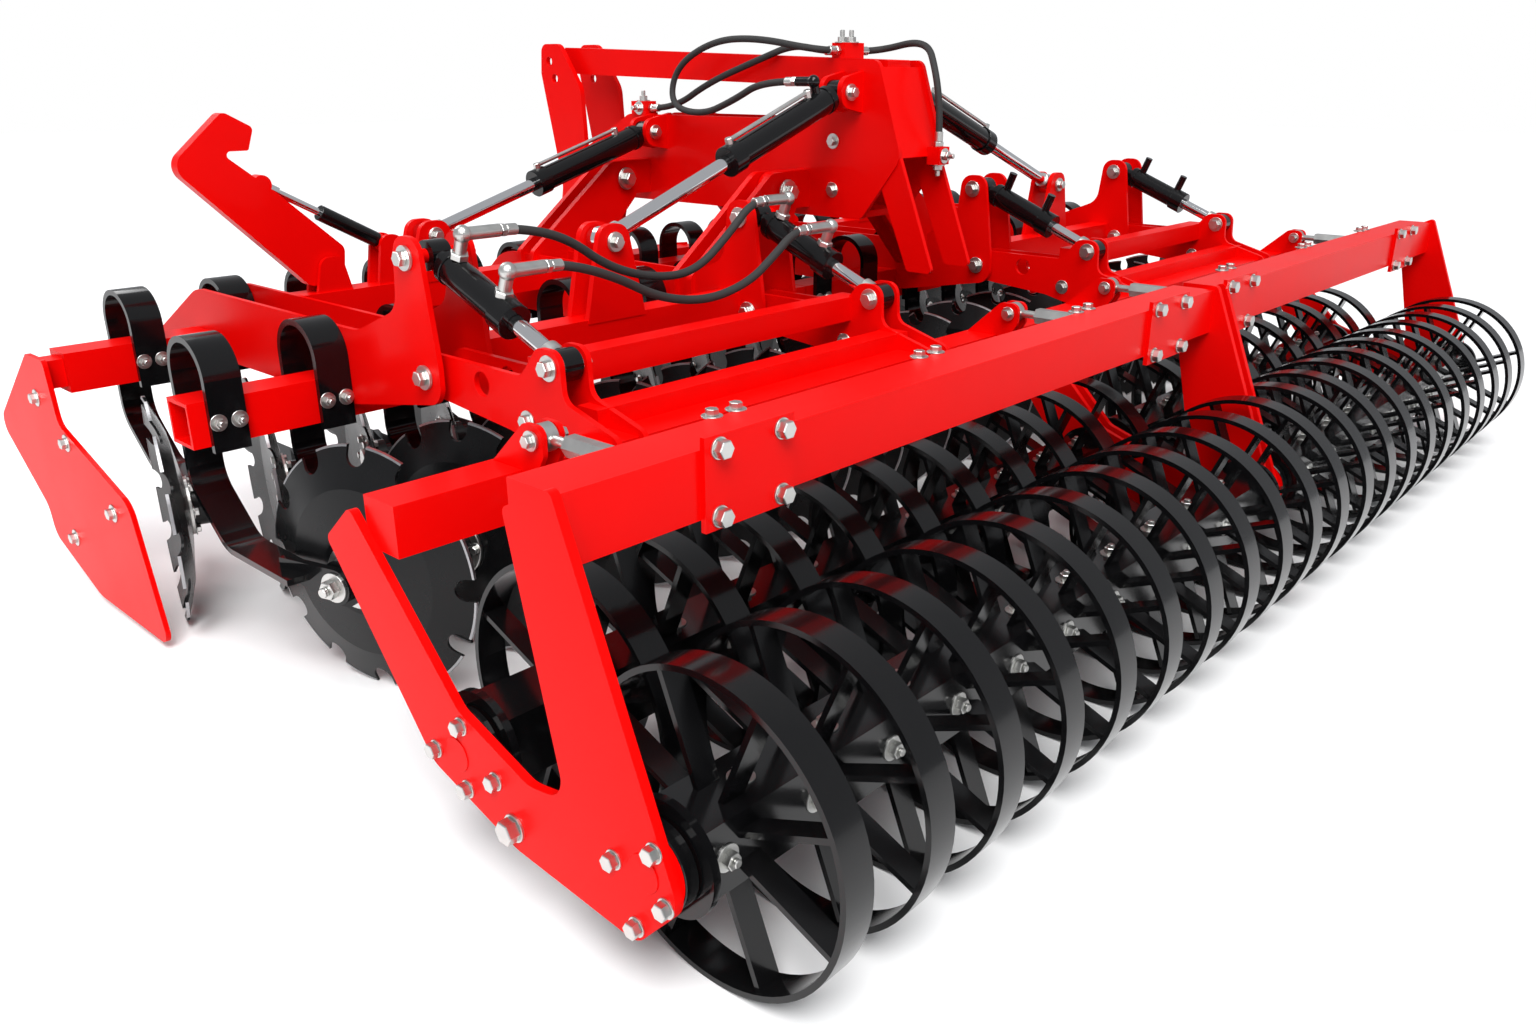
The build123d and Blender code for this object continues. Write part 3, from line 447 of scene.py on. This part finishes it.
def bolt(shape, place, along, flats, stud=0.0, washer=True):
    """Hexagon head, on a washer or on its own flange, with a stud's end where there is one."""
    rim = 0.92 if washer else 0.66
    drum(shape, place, along, flats * rim, -0.0005, flats * 0.12, chamfer=0.0006)
    drum(shape, place, along, flats * 0.577, flats * 0.11, flats * 0.68, sides=6, chamfer=flats * 0.05)
    if stud:
        drum(shape, place, along, flats * 0.30, flats * 0.7, flats * 0.72 + stud, sides=16)


def finished_mesh(name, shape, finish):
    """Mesh of a shape with its finish."""
    mesh = bpy.data.meshes.new(name)
    bmesh.ops.recalc_face_normals(shape, faces=shape.faces)
    shape.to_mesh(mesh)
    shape.free()
    mesh.materials.append(bpy.data.materials[finish])
    return mesh


def piece(name, shape, body, finish, slot):
    """Object of a shape that rides on a body."""
    return placed(name, finished_mesh(name, shape, finish), Matrix.Identity(4), body, slot)


def placed(name, mesh, stand, body, slot):
    """Object of a mesh at a place, riding on a body."""
    made = bpy.data.objects.new(name, mesh)
    bpy.context.scene.collection.objects.link(made)
    made.matrix_world = stand
    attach(made, body)
    return made


def disc_stand(row, index):
    """Matrix of a disc's own frame, its hollow side up."""
    yaw = math.radians(DISC_YAW)
    across = 1 if row == "rear" else -1
    up = Vector((across * math.cos(yaw), math.sin(yaw), 0.0))
    first, ahead = DISC_ROWS[row]
    centre = at(first + index * DISC_PITCH, ahead, DISC_RADIUS)
    side = Vector((0, 0, 1))
    return Matrix.Translation(centre) @ Matrix((side, up.cross(side), up)).transposed().to_4x4()


def dish_height(radius, hollow):
    """Height of a disc's outer cone at a radius, in the disc's frame."""
    return (-30.0 if hollow else -36.0) + (radius - 190.0) / 3.0


class HARROW_OT_disc_edges(bpy.types.Operator):
    """Bright ground edges between the notches of each disc, and the hub's bolts"""
    bl_idname = "harrow.disc_edges"
    bl_label = "Disc edges and hubs"

    def execute(self, context):
        edges = self.edge_mesh()
        bolts = self.hub_mesh(context.scene.harrow_sizes.hub_bolts)
        for row in DISC_ROWS:
            for index in range(DISCS_PER_ROW):
                name = f"disc_{row}_{index + 1:02d}"
                stand = disc_stand(row, index)
                placed(f"{name}_edge", edges, stand, name, "disc_steel")
                placed(f"{name}_bolts", bolts, stand, name, "zinc")
        return {"FINISHED"}

    def edge_mesh(self):
        """Thin bright strip along the rim between the notches."""
        shape = bmesh.new()
        lift = 0.5
        steps = 8
        rings = (
            (276.0, dish_height(276.0, False) - lift),
            (DISC_RADIUS + lift, dish_height(DISC_RADIUS, False) - lift),
            (DISC_RADIUS + lift, lift),
            (278.5, dish_height(278.5, True) + lift),
        )
        for notch in range(NOTCHES):
            rows = []
            for radius, height in rings:
                gap = math.asin((NOTCH_HALF + 1.0) / radius)
                low = 2 * math.pi * notch / NOTCHES + gap
                high = 2 * math.pi * (notch + 1) / NOTCHES - gap
                row = []
                for step in range(steps + 1):
                    angle = low + (high - low) * step / steps
                    place = Vector((radius * math.cos(angle), radius * math.sin(angle), height)) * MM
                    row.append(shape.verts.new(place))
                rows.append(row)
            for first, second in zip(rows, rows[1:]):
                for step in range(steps):
                    shape.faces.new((first[step], first[step + 1], second[step + 1], second[step]))
        return finished_mesh("ground_edges", shape, "ground_steel")

    def hub_mesh(self, count):
        """Bolts and caps on both faces of a hub."""
        shape = bmesh.new()
        for step in range(count):
            angle = 2 * math.pi * (step + 0.5) / count
            spot = Vector((math.cos(angle), math.sin(angle), 0.0)) * 61.0
            bolt(shape, (spot + Vector((0, 0, -45.0))) * MM, (0, 0, 1), 0.017)
            bolt(shape, (spot + Vector((0, 0, -61.0))) * MM, (0, 0, -1), 0.017)
        drum(shape, Vector((0, 0, -45.0)) * MM, (0, 0, 1), 0.034, -0.0005, 0.012, chamfer=0.004)
        drum(shape, Vector((0, 0, -51.0)) * MM, (0, 0, -1), 0.0728, 0.0, 0.0102, sides=40, chamfer=0.002)
        return finished_mesh("hub_bolts", shape, "zinc_plate")


class HARROW_OT_spring_clamps(bpy.types.Operator):
    """Clamp bolts and hub nuts of the leaf springs"""
    bl_idname = "harrow.spring_clamps"
    bl_label = "Spring clamps"

    def execute(self, context):
        sizes = context.scene.harrow_sizes
        for side, word in SIDES:
            shape = bmesh.new()
            start = 0 if side < 0 else DISCS_PER_ROW // 2
            for row, (first, ahead) in DISC_ROWS.items():
                across = 1 if row == "rear" else -1
                for index in range(start, start + DISCS_PER_ROW // 2):
                    x = first + index * DISC_PITCH - across * ARM_OFFSET
                    face = ahead + SPRING_REACH - 50.0 - SPRING_THICKNESS
                    for offset in (-23.0, 23.0):
                        spot = at(x + offset, face, SPRING_BOLT_Z)
                        bolt(shape, spot, (0, -1, 0), sizes.bolt_small * 0.85, 0.006)
                    stand = disc_stand(row, index)
                    out = stand.to_3x3() @ Vector((0, 0, -1))
                    plate_face = stand @ (Vector((0, 0, -HUB_PLATE_FACE)) * MM)
                    bolt(shape, plate_face, out, sizes.bolt_large, 0.010)
            piece(f"{word}_spring_bolts", shape, f"{word}_wing", "zinc_plate", "zinc")
        return {"FINISHED"}


class HARROW_OT_ring_clamps(bpy.types.Operator):
    """Clamp bolts beside the rings on each roller's square tube"""
    bl_idname = "harrow.ring_clamps"
    bl_label = "Ring clamps"

    def execute(self, context):
        flats = context.scene.harrow_sizes.bolt_small
        for row, axle, shift in (("rear", 0.0, 0.0), ("front", ROLLER_SPACING, RING_PITCH / 2)):
            for side, word in SIDES:
                shape = bmesh.new()
                x = FIRST_RING + shift
                while x < END_FACE:
                    if 120.0 < side * (x - SPLIT) and abs(x) < END_FACE - 100.0:
                        for turn in range(4):
                            angle = math.pi / 2 * turn
                            out = Vector((0.0, math.cos(angle), math.sin(angle)))
                            beside = 46.0 if turn % 2 else -46.0
                            place = at(x + beside, axle, RING_RADIUS) + out * 60.0 * MM
                            bolt(shape, place, out, flats, 0.006)
                    x += RING_PITCH
                piece(f"{word}_{row}_ring_bolts", shape, f"{word}_{row}_roller", "zinc_plate", "zinc")
        return {"FINISHED"}


class HARROW_OT_frame_bolts(bpy.types.Operator):
    """Bolts and pin heads on wings, roller frames and mast"""
    bl_idname = "harrow.frame_bolts"
    bl_label = "Bolts and pins"

    def execute(self, context):
        sizes = context.scene.harrow_sizes
        for side, word in SIDES:
            self.roller_bolts(side, word, sizes)
            self.wing_pins(side, word, sizes)
        self.mast_pins(sizes)
        return {"FINISHED"}

    def roller_bolts(self, side, word, sizes):
        """Fasteners on one roller frame, with bearing rings and shaft covers."""
        shape = bmesh.new()
        for ahead, z in END_BOLTS:
            bolt(shape, at(side * END_FACE, ahead, z), (side, 0, 0), sizes.bolt_small, washer=False)
        bolt(shape, at(side * END_FACE, *BIG_END_BOLT), (side, 0, 0), sizes.bolt_large, washer=False)
        covers = bmesh.new()
        housings = bmesh.new()
        for ahead in (0.0, ROLLER_SPACING):
            shaft_end = at(side * END_FACE, ahead, RING_RADIUS)
            drum(covers, shaft_end, (side, 0, 0), 0.030, -0.0005, 0.0016, chamfer=0.0005)
            inner_face = SPLIT + side * 31.0
            for face, out in ((side * (END_FACE - 16.0), -side), (inner_face, side)):
                collar(housings, at(face, ahead, RING_RADIUS), (out, 0, 0), 0.0685, 0.0655, 0.0, 0.0245)
        for middle in SPLICES:
            for x in (middle - 70, middle + 70):
                for z in (CROSS_TUBE_Z - 54, CROSS_TUBE_Z + 54):
                    spot = at(side * x, SPLICE_FACE, z)
                    bolt(shape, spot, (0, -1, 0), sizes.bolt_large * 0.75, washer=False)
        for station in STATIONS:
            for out in (-1, 1):
                face = side * station + out * ARM_FACE
                bolt(shape, at(face, *DEPTH_EYE), (out, 0, 0), sizes.bolt_large * 0.78)
                for ahead, z in ARM_BOLTS:
                    bolt(shape, at(face, ahead, z), (out, 0, 0), sizes.bolt_small)
        for x in TURNBUCKLES:
            drum(shape, at(side * x, 430, TURNBUCKLE_Z), (0, 1, 0), 0.021, -0.07, 0.05, sides=6)
            for spot in (455, 318):
                drum(shape, at(side * x, spot, TURNBUCKLE_Z), (0, 1, 0), 0.017, 0.0, 0.016, sides=6)
            for out in (-1, 1):
                ear = at(side * x + out * 24.0, TURNBUCKLE_EYE, TURNBUCKLE_Z)
                head = at(side * x + out * 30.5, TURNBUCKLE_EYE, TURNBUCKLE_Z)
                drum(shape, ear, (out, 0, 0), 0.016, -0.0005, 0.007)
                bolt(shape, head, (out, 0, 0), 0.020)
        for x in STUD_PLACES:
            for offset in (-28.0, 28.0):
                stud = at(side * x + offset, 276, CROSS_TUBE_Z)
                drum(shape, stud, (0, 0, 1), 0.006, -0.062, 0.068, sides=14)
                bolt(shape, at(side * x + offset, 276, CROSS_TUBE_Z + 55), (0, 0, 1), 0.020)
        piece(f"{word}_bearing_rings", housings, f"{word}_roller_carrier", "gloss_black", "black_spring")
        piece(f"{word}_shaft_covers", covers, f"{word}_roller_carrier", "frame_red", "red_paint")
        piece(f"{word}_roller_bolts", shape, f"{word}_roller_carrier", "zinc_plate", "zinc")

    def wing_pins(self, side, word, sizes):
        """Pin heads on one wing and bolts on its deflector."""
        shape = bmesh.new()
        for station in STATIONS:
            for out in (-1, 1):
                face = side * station + out * ARCH_FACE
                for ahead, z in (DEPTH_PIN, ARCH_PIN):
                    drum(shape, at(face, ahead, z), (out, 0, 0), 0.026, -0.0005, 0.005)
                    bolt(shape, at(face + out * 5, ahead, z), (out, 0, 0), sizes.bolt_large * 0.8)
        for ahead, _, x, z in FOLD_CYLINDERS.values():
            for out in (-1, 1):
                drum(shape, at(side * x, ahead + out * 42, z), (0, out, 0), 0.024, -0.0005, 0.006)
                bolt(shape, at(side * x, ahead + out * 48, z), (0, out, 0), sizes.bolt_large * 0.7)
        for ahead, z in DEFLECTOR_BOLTS:
            bolt(shape, at(side * DEFLECTOR_FACE, ahead, z), (side, 0, 0), sizes.bolt_small)
        piece(f"{word}_wing_pins", shape, f"{word}_wing", "zinc_plate", "zinc")

    def mast_pins(self, sizes):
        """Pin heads, bolts and hose fittings on the mast."""
        shape = bmesh.new()
        for side, _ in SIDES:
            for ahead, z, _, _ in FOLD_CYLINDERS.values():
                for out in (-1, 1):
                    collar_face = at(side * MAST_PIN_X, ahead + out * 42, z)
                    pin_end = at(side * MAST_PIN_X, ahead + out * 48, z)
                    drum(shape, collar_face, (0, out, 0), 0.023, -0.0005, 0.006)
                    bolt(shape, pin_end, (0, out, 0), sizes.bolt_large * 0.7)
            for ahead in HINGES:
                for out in (-1, 1):
                    collar_face = at(side * HINGE_X, ahead + out * 51, HINGE_Z)
                    pin_end = at(side * HINGE_X, ahead + out * 58, HINGE_Z)
                    drum(shape, collar_face, (0, out, 0), 0.036, -0.0005, 0.007)
                    bolt(shape, pin_end, (0, out, 0), sizes.bolt_large)
            for ahead, z in MAST_BOLTS:
                bolt(shape, at(side * MAST_FACE, ahead, z), (side, 0, 0), sizes.bolt_small)
        for x, ahead in MANIFOLD_FITTINGS:
            bolt(shape, at(x, ahead, MANIFOLD_TOP), (0, 0, 1), 0.024, 0.018)
        for place, out in BLOCK_FITTINGS:
            bolt(shape, at(*place), out, 0.024, 0.016)
        piece("mast_pins", shape, "mast", "zinc_plate", "zinc")


class HARROW_OT_hydraulics(bpy.types.Operator):
    """Glands, collars and port fittings of the cylinders"""
    bl_idname = "harrow.hydraulics"
    bl_label = "Hydraulic fittings"

    def execute(self, context):
        for side, word in SIDES:
            for place, (ahead, pin_z, lug_x, lug_z) in FOLD_CYLINDERS.items():
                base = at(side * MAST_PIN_X, ahead, pin_z)
                eye = at(side * lug_x, ahead, lug_z)
                self.dress(f"{word}_{place}_fold", ((base, eye),), 0.036, 0.490, 0.019, 0.034)
            pairs = [(at(side * x, *DEPTH_PIN), at(side * x, *DEPTH_EYE)) for x in STATIONS]
            self.dress(f"{word}_depth", pairs, 0.034, 0.285, 0.018, 0.032)
        self.elbows()
        self.lock_cylinder()
        return {"FINISHED"}

    def elbows(self):
        """Plated elbows on the left depth barrels' ports."""
        shape = bmesh.new()
        for station, inward in zip(STATIONS, (1, -1)):
            base = at(-station, *DEPTH_PIN)
            along = (at(-station, *DEPTH_EYE) - base).normalized()
            upward = along.cross(Vector((1, 0, 0)))
            for distance in PORT_PLACES:
                foot = base + along * distance * MM
                corner = foot + upward * PORT_HEIGHT * MM
                drum(shape, foot, upward, 0.020, 0.0335, 0.048, sides=6)
                drum(shape, foot, upward, 0.0138, 0.046, PORT_HEIGHT * MM)
                drum(shape, corner, (inward, 0, 0), 0.0138, 0.0, 0.0895)
                bmesh.ops.create_uvsphere(shape, u_segments=24, v_segments=14, radius=0.0188,
                                          matrix=Matrix.Translation(corner))
        piece("wing_hose_elbows", shape, "left_depth_barrels", "zinc_plate", "zinc")

    def lock_cylinder(self):
        """Black barrel and bright rod of the transport lock's small cylinder."""
        base, lug = (at(*place) for place in LOCK_CYLINDER)
        along = (lug - base).normalized()
        reach = (lug - base).length
        black = bmesh.new()
        barrel_end = reach * 0.55
        drum(black, base, along, 0.0214, 0.030, barrel_end + 0.002)
        piece("lock_barrel", black, "left_wing", "barrel_black", "black_barrel")
        bright = bmesh.new()
        drum(bright, base, along, 0.0100, barrel_end + 0.001, reach - 0.022)
        drum(bright, base, along, 0.0150, reach - 0.050, reach - 0.020, sides=6)
        piece("lock_rod", bright, "left_wing", "chrome_rod", "chrome_rod")

    def dress(self, name, pairs, radius, barrel, rod, eye_radius):
        """Glands, rings and pipes on the cylinders of one node."""
        several = "s" if len(pairs) > 1 else ""
        black = bmesh.new()
        bright = bmesh.new()
        ports = bmesh.new()
        rings = bmesh.new()
        for base, eye in pairs:
            along = (eye - base).normalized()
            collar(black, base, along, radius + 0.005, rod + 0.001, barrel - 0.045, barrel + 0.003)
            collar(black, base, along, radius + 0.003, radius - 0.002, 0.052, 0.070)
            if not several:
                upward = along.cross(Vector((0, 1, 0)))
                upward *= math.copysign(1.0, upward.z)
                for spot in (0.13, 0.465):
                    drum(ports, base + along * spot, upward, 0.011, radius - 0.004, radius + 0.020, sides=6)
                drum(ports, base + upward * (radius + 0.013), along, 0.006, 0.135, 0.46, sides=16)
            if several:
                collar(rings, eye, (1, 0, 0), eye_radius + 0.001, eye_radius - 0.0008, -0.0232, 0.0232)
            reach = (eye - base).length
            drum(bright, base, along, rod + 0.007, reach - eye_radius - 0.022, reach - eye_radius + 0.004,
                 chamfer=0.003)
        piece(f"{name}_glands", black, f"{name}_barrel{several}", "barrel_black", "black_barrel")
        if several:
            ports.free()
            piece(f"{name}_eye_rings", rings, f"{name}_rods", "gloss_black", "black_spring")
        else:
            rings.free()
            piece(f"{name}_pipe", ports, f"{name}_barrel", "zinc_plate", "zinc")
        piece(f"{name}_collars", bright, f"{name}_rod{several}", "zinc_plate", "zinc")


def hose_curve(name, points, diameter):
    """Open smooth curve through a hose's route."""
    line = bpy.data.curves.new(name, "CURVE")
    line.dimensions = "3D"
    line.resolution_u = 16
    spline = line.splines.new("NURBS")
    spline.points.add(len(points) - 1)
    for point, place in zip(spline.points, points):
        point.co = (*place, 1.0)
    spline.order_u = 3
    spline.use_endpoint_u = True
    made = bpy.data.objects.new(name, line)
    bpy.context.scene.collection.objects.link(made)
    line.materials.append(bpy.data.materials["hose_rubber"])
    centre = bpy.data.meshes.new_from_object(made)
    route = [vertex.co.copy() for vertex in centre.vertices]
    bpy.data.meshes.remove(centre)
    line.bevel_depth = diameter / 2
    line.bevel_resolution = 5
    line.use_fill_caps = True
    reach = sum((second - first).length for first, second in zip(route, route[1:]))
    return made, route, reach


class HARROW_OT_hoses(bpy.types.Operator):
    """Hydraulic hoses with their crimped ends"""
    bl_idname = "harrow.hoses"
    bl_label = "Hoses"

    def execute(self, context):
        diameter = context.scene.harrow_sizes.hose
        for name, points in WING_HOSES.items():
            self.cord(name, points, diameter, "left_depth_barrels", "left_wing_hoses")
        for name, points in MAST_HOSES.items():
            self.cord(name, points, diameter, "mast", "mast_hoses")
        self.fold_hose(diameter)
        return {"FINISHED"}

    def ends(self, name, route, body, first=True, last=True):
        """Crimped ends on a hose's route."""
        shape = bmesh.new()
        for wanted, place, inner in ((first, route[0], route[3]), (last, route[-1], route[-4])):
            if wanted:
                along = (inner - place).normalized()
                drum(shape, place, along, 0.0145, 0.0, 0.014, sides=6)
                drum(shape, place, along, 0.0125, 0.014, 0.042, sides=20)
        return piece(f"{name}_ends", shape, body, "zinc_plate", "zinc")

    def cord(self, name, points, diameter, body, node_name):
        """Hose that rides on one body."""
        hose, route, reach = hose_curve(name, [at(*place) for place in points], diameter)
        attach(hose, body)
        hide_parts(node_name)
        tips = self.ends(name, route, body)

    def fold_hose(self, diameter):
        """Hose from the mast to the left rear fold barrel, with its crimped ends riding on the mast and on
        the barrel.
        """
        name = "fold_hose"
        line, route, reach = hose_curve(name + "_line", [at(*place) for place in FOLD_HOSE], diameter)
        mesh = bpy.data.meshes.new_from_object(line)
        curve = line.data
        bpy.data.objects.remove(line)
        bpy.data.curves.remove(curve)
        hose = bpy.data.objects.new(name, mesh)
        bpy.context.scene.collection.objects.link(hose)
        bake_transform(hose)
        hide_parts("mast_hoses")
        near = self.ends(name + "_mast", route, "mast", last=False)
        far = self.ends(name + "_barrel", route, "left_rear_fold_barrel", first=False)


class HARROW_OT_stage(bpy.types.Operator):
    """Floor, soft light and the camera at the photographed angle"""
    bl_idname = "harrow.stage"
    bl_label = "Stage"

    def execute(self, context):
        scene = context.scene
        look = scene.harrow_stage
        scene.view_settings.view_transform = "Standard"
        camera_data = bpy.data.cameras.new("photo_camera")
        camera_data.lens = look.lens
        camera_data.sensor_width = 36.0
        camera_data.clip_end = 100.0
        camera = bpy.data.objects.new("photo_camera", camera_data)
        scene.collection.objects.link(camera)
        camera.location = look.camera_place
        camera.rotation_euler = (math.pi / 2 - look.pitch, 0.0, -look.yaw)
        scene.camera = camera
        self.floor(scene)
        self.lights(scene)
        return {"FINISHED"}

    def floor(self, scene):
        """Pale floor that takes the shadow."""
        mesh = bpy.data.meshes.new("studio_floor")
        shape = bmesh.new()
        bmesh.ops.create_grid(shape, x_segments=2, y_segments=2, size=30.0)
        shape.to_mesh(mesh)
        shape.free()
        floor = bpy.data.objects.new("studio_floor", mesh)
        scene.collection.objects.link(floor)
        floor.location.z = -0.0005
        made = bpy.data.materials.new("pale_floor")
        made.use_nodes = True
        shader = made.node_tree.nodes["Principled BSDF"]
        shader.inputs["Base Color"].default_value = (*scene.harrow_stage.floor, 1.0)
        shader.inputs["Roughness"].default_value = 0.7
        shader.inputs["Specular IOR Level"].default_value = 0.2
        mesh.materials.append(made)

    def lights(self, scene):
        """White background, soft sky and two soft lamps."""
        world = bpy.data.worlds.new("studio_world")
        scene.world = world
        world.use_nodes = True
        tree = world.node_tree
        back = tree.nodes["Background"]
        path = node(tree, "ShaderNodeLightPath")
        ambient = scene.harrow_stage.ambient
        tint = mix_colour(tree, path.outputs["Is Camera Ray"], ambient, (1.0, 1.0, 1.0))
        tree.links.new(tint, back.inputs["Color"])
        back.inputs["Strength"].default_value = 1.0
        sun = bpy.data.lights.new("sky_soft", "SUN")
        sun.energy = 2.7
        sun.angle = math.radians(40)
        lamp = bpy.data.objects.new("sky_soft", sun)
        scene.collection.objects.link(lamp)
        lamp.rotation_euler = (math.radians(24), math.radians(-20), 0.0)
        for name, place, aim, size, power in (
            ("key_soft", (-4.5, -3.0, 4.5), (0, 0, 0.4), 2.5, 150),
            ("back_soft", (-1.0, 5.5, 5.0), (0, 0, 0.5), 3.0, 120),
        ):
            data = bpy.data.lights.new(name, "AREA")
            data.size = size
            data.energy = power
            lamp = bpy.data.objects.new(name, data)
            scene.collection.objects.link(lamp)
            lamp.location = place
            lamp.rotation_euler = (Vector(aim) - Vector(place)).to_track_quat("-Z", "Y").to_euler()


OPERATORS = (
    HARROW_OT_materials, HARROW_OT_edges, HARROW_OT_stage, HARROW_OT_hoses, HARROW_OT_disc_edges,
    HARROW_OT_spring_clamps, HARROW_OT_ring_clamps, HARROW_OT_frame_bolts, HARROW_OT_hydraulics,
)
GROUPS = (("harrow_finish", HarrowFinish), ("harrow_sizes", HarrowSizes), ("harrow_stage", HarrowStage))


class HARROW_PT_panel(bpy.types.Panel):
    """Sizes, colours and build steps of the harrow"""
    bl_idname = "HARROW_PT_panel"
    bl_label = "Disc harrow"
    bl_space_type = "VIEW_3D"
    bl_region_type = "UI"
    bl_category = "Harrow"

    def draw(self, context):
        for name, group in GROUPS:
            values = getattr(context.scene, name)
            for key in group.__annotations__:
                self.layout.prop(values, key)
        for operator in OPERATORS:
            self.layout.operator(operator.bl_idname)


def register():
    for _, group in GROUPS:
        bpy.utils.register_class(group)
    for operator in OPERATORS:
        bpy.utils.register_class(operator)
    bpy.utils.register_class(HARROW_PT_panel)
    for name, group in GROUPS:
        setattr(bpy.types.Scene, name, PointerProperty(type=group))


def unregister():
    for name, _ in GROUPS:
        delattr(bpy.types.Scene, name)
    bpy.utils.unregister_class(HARROW_PT_panel)
    for operator in reversed(OPERATORS):
        bpy.utils.unregister_class(operator)
    for _, group in reversed(GROUPS):
        bpy.utils.unregister_class(group)


def main():
    register()
    for operator in OPERATORS:
        area, name = operator.bl_idname.split(".")
        getattr(getattr(bpy.ops, area), name)()


if __name__ == "__main__":
    main()
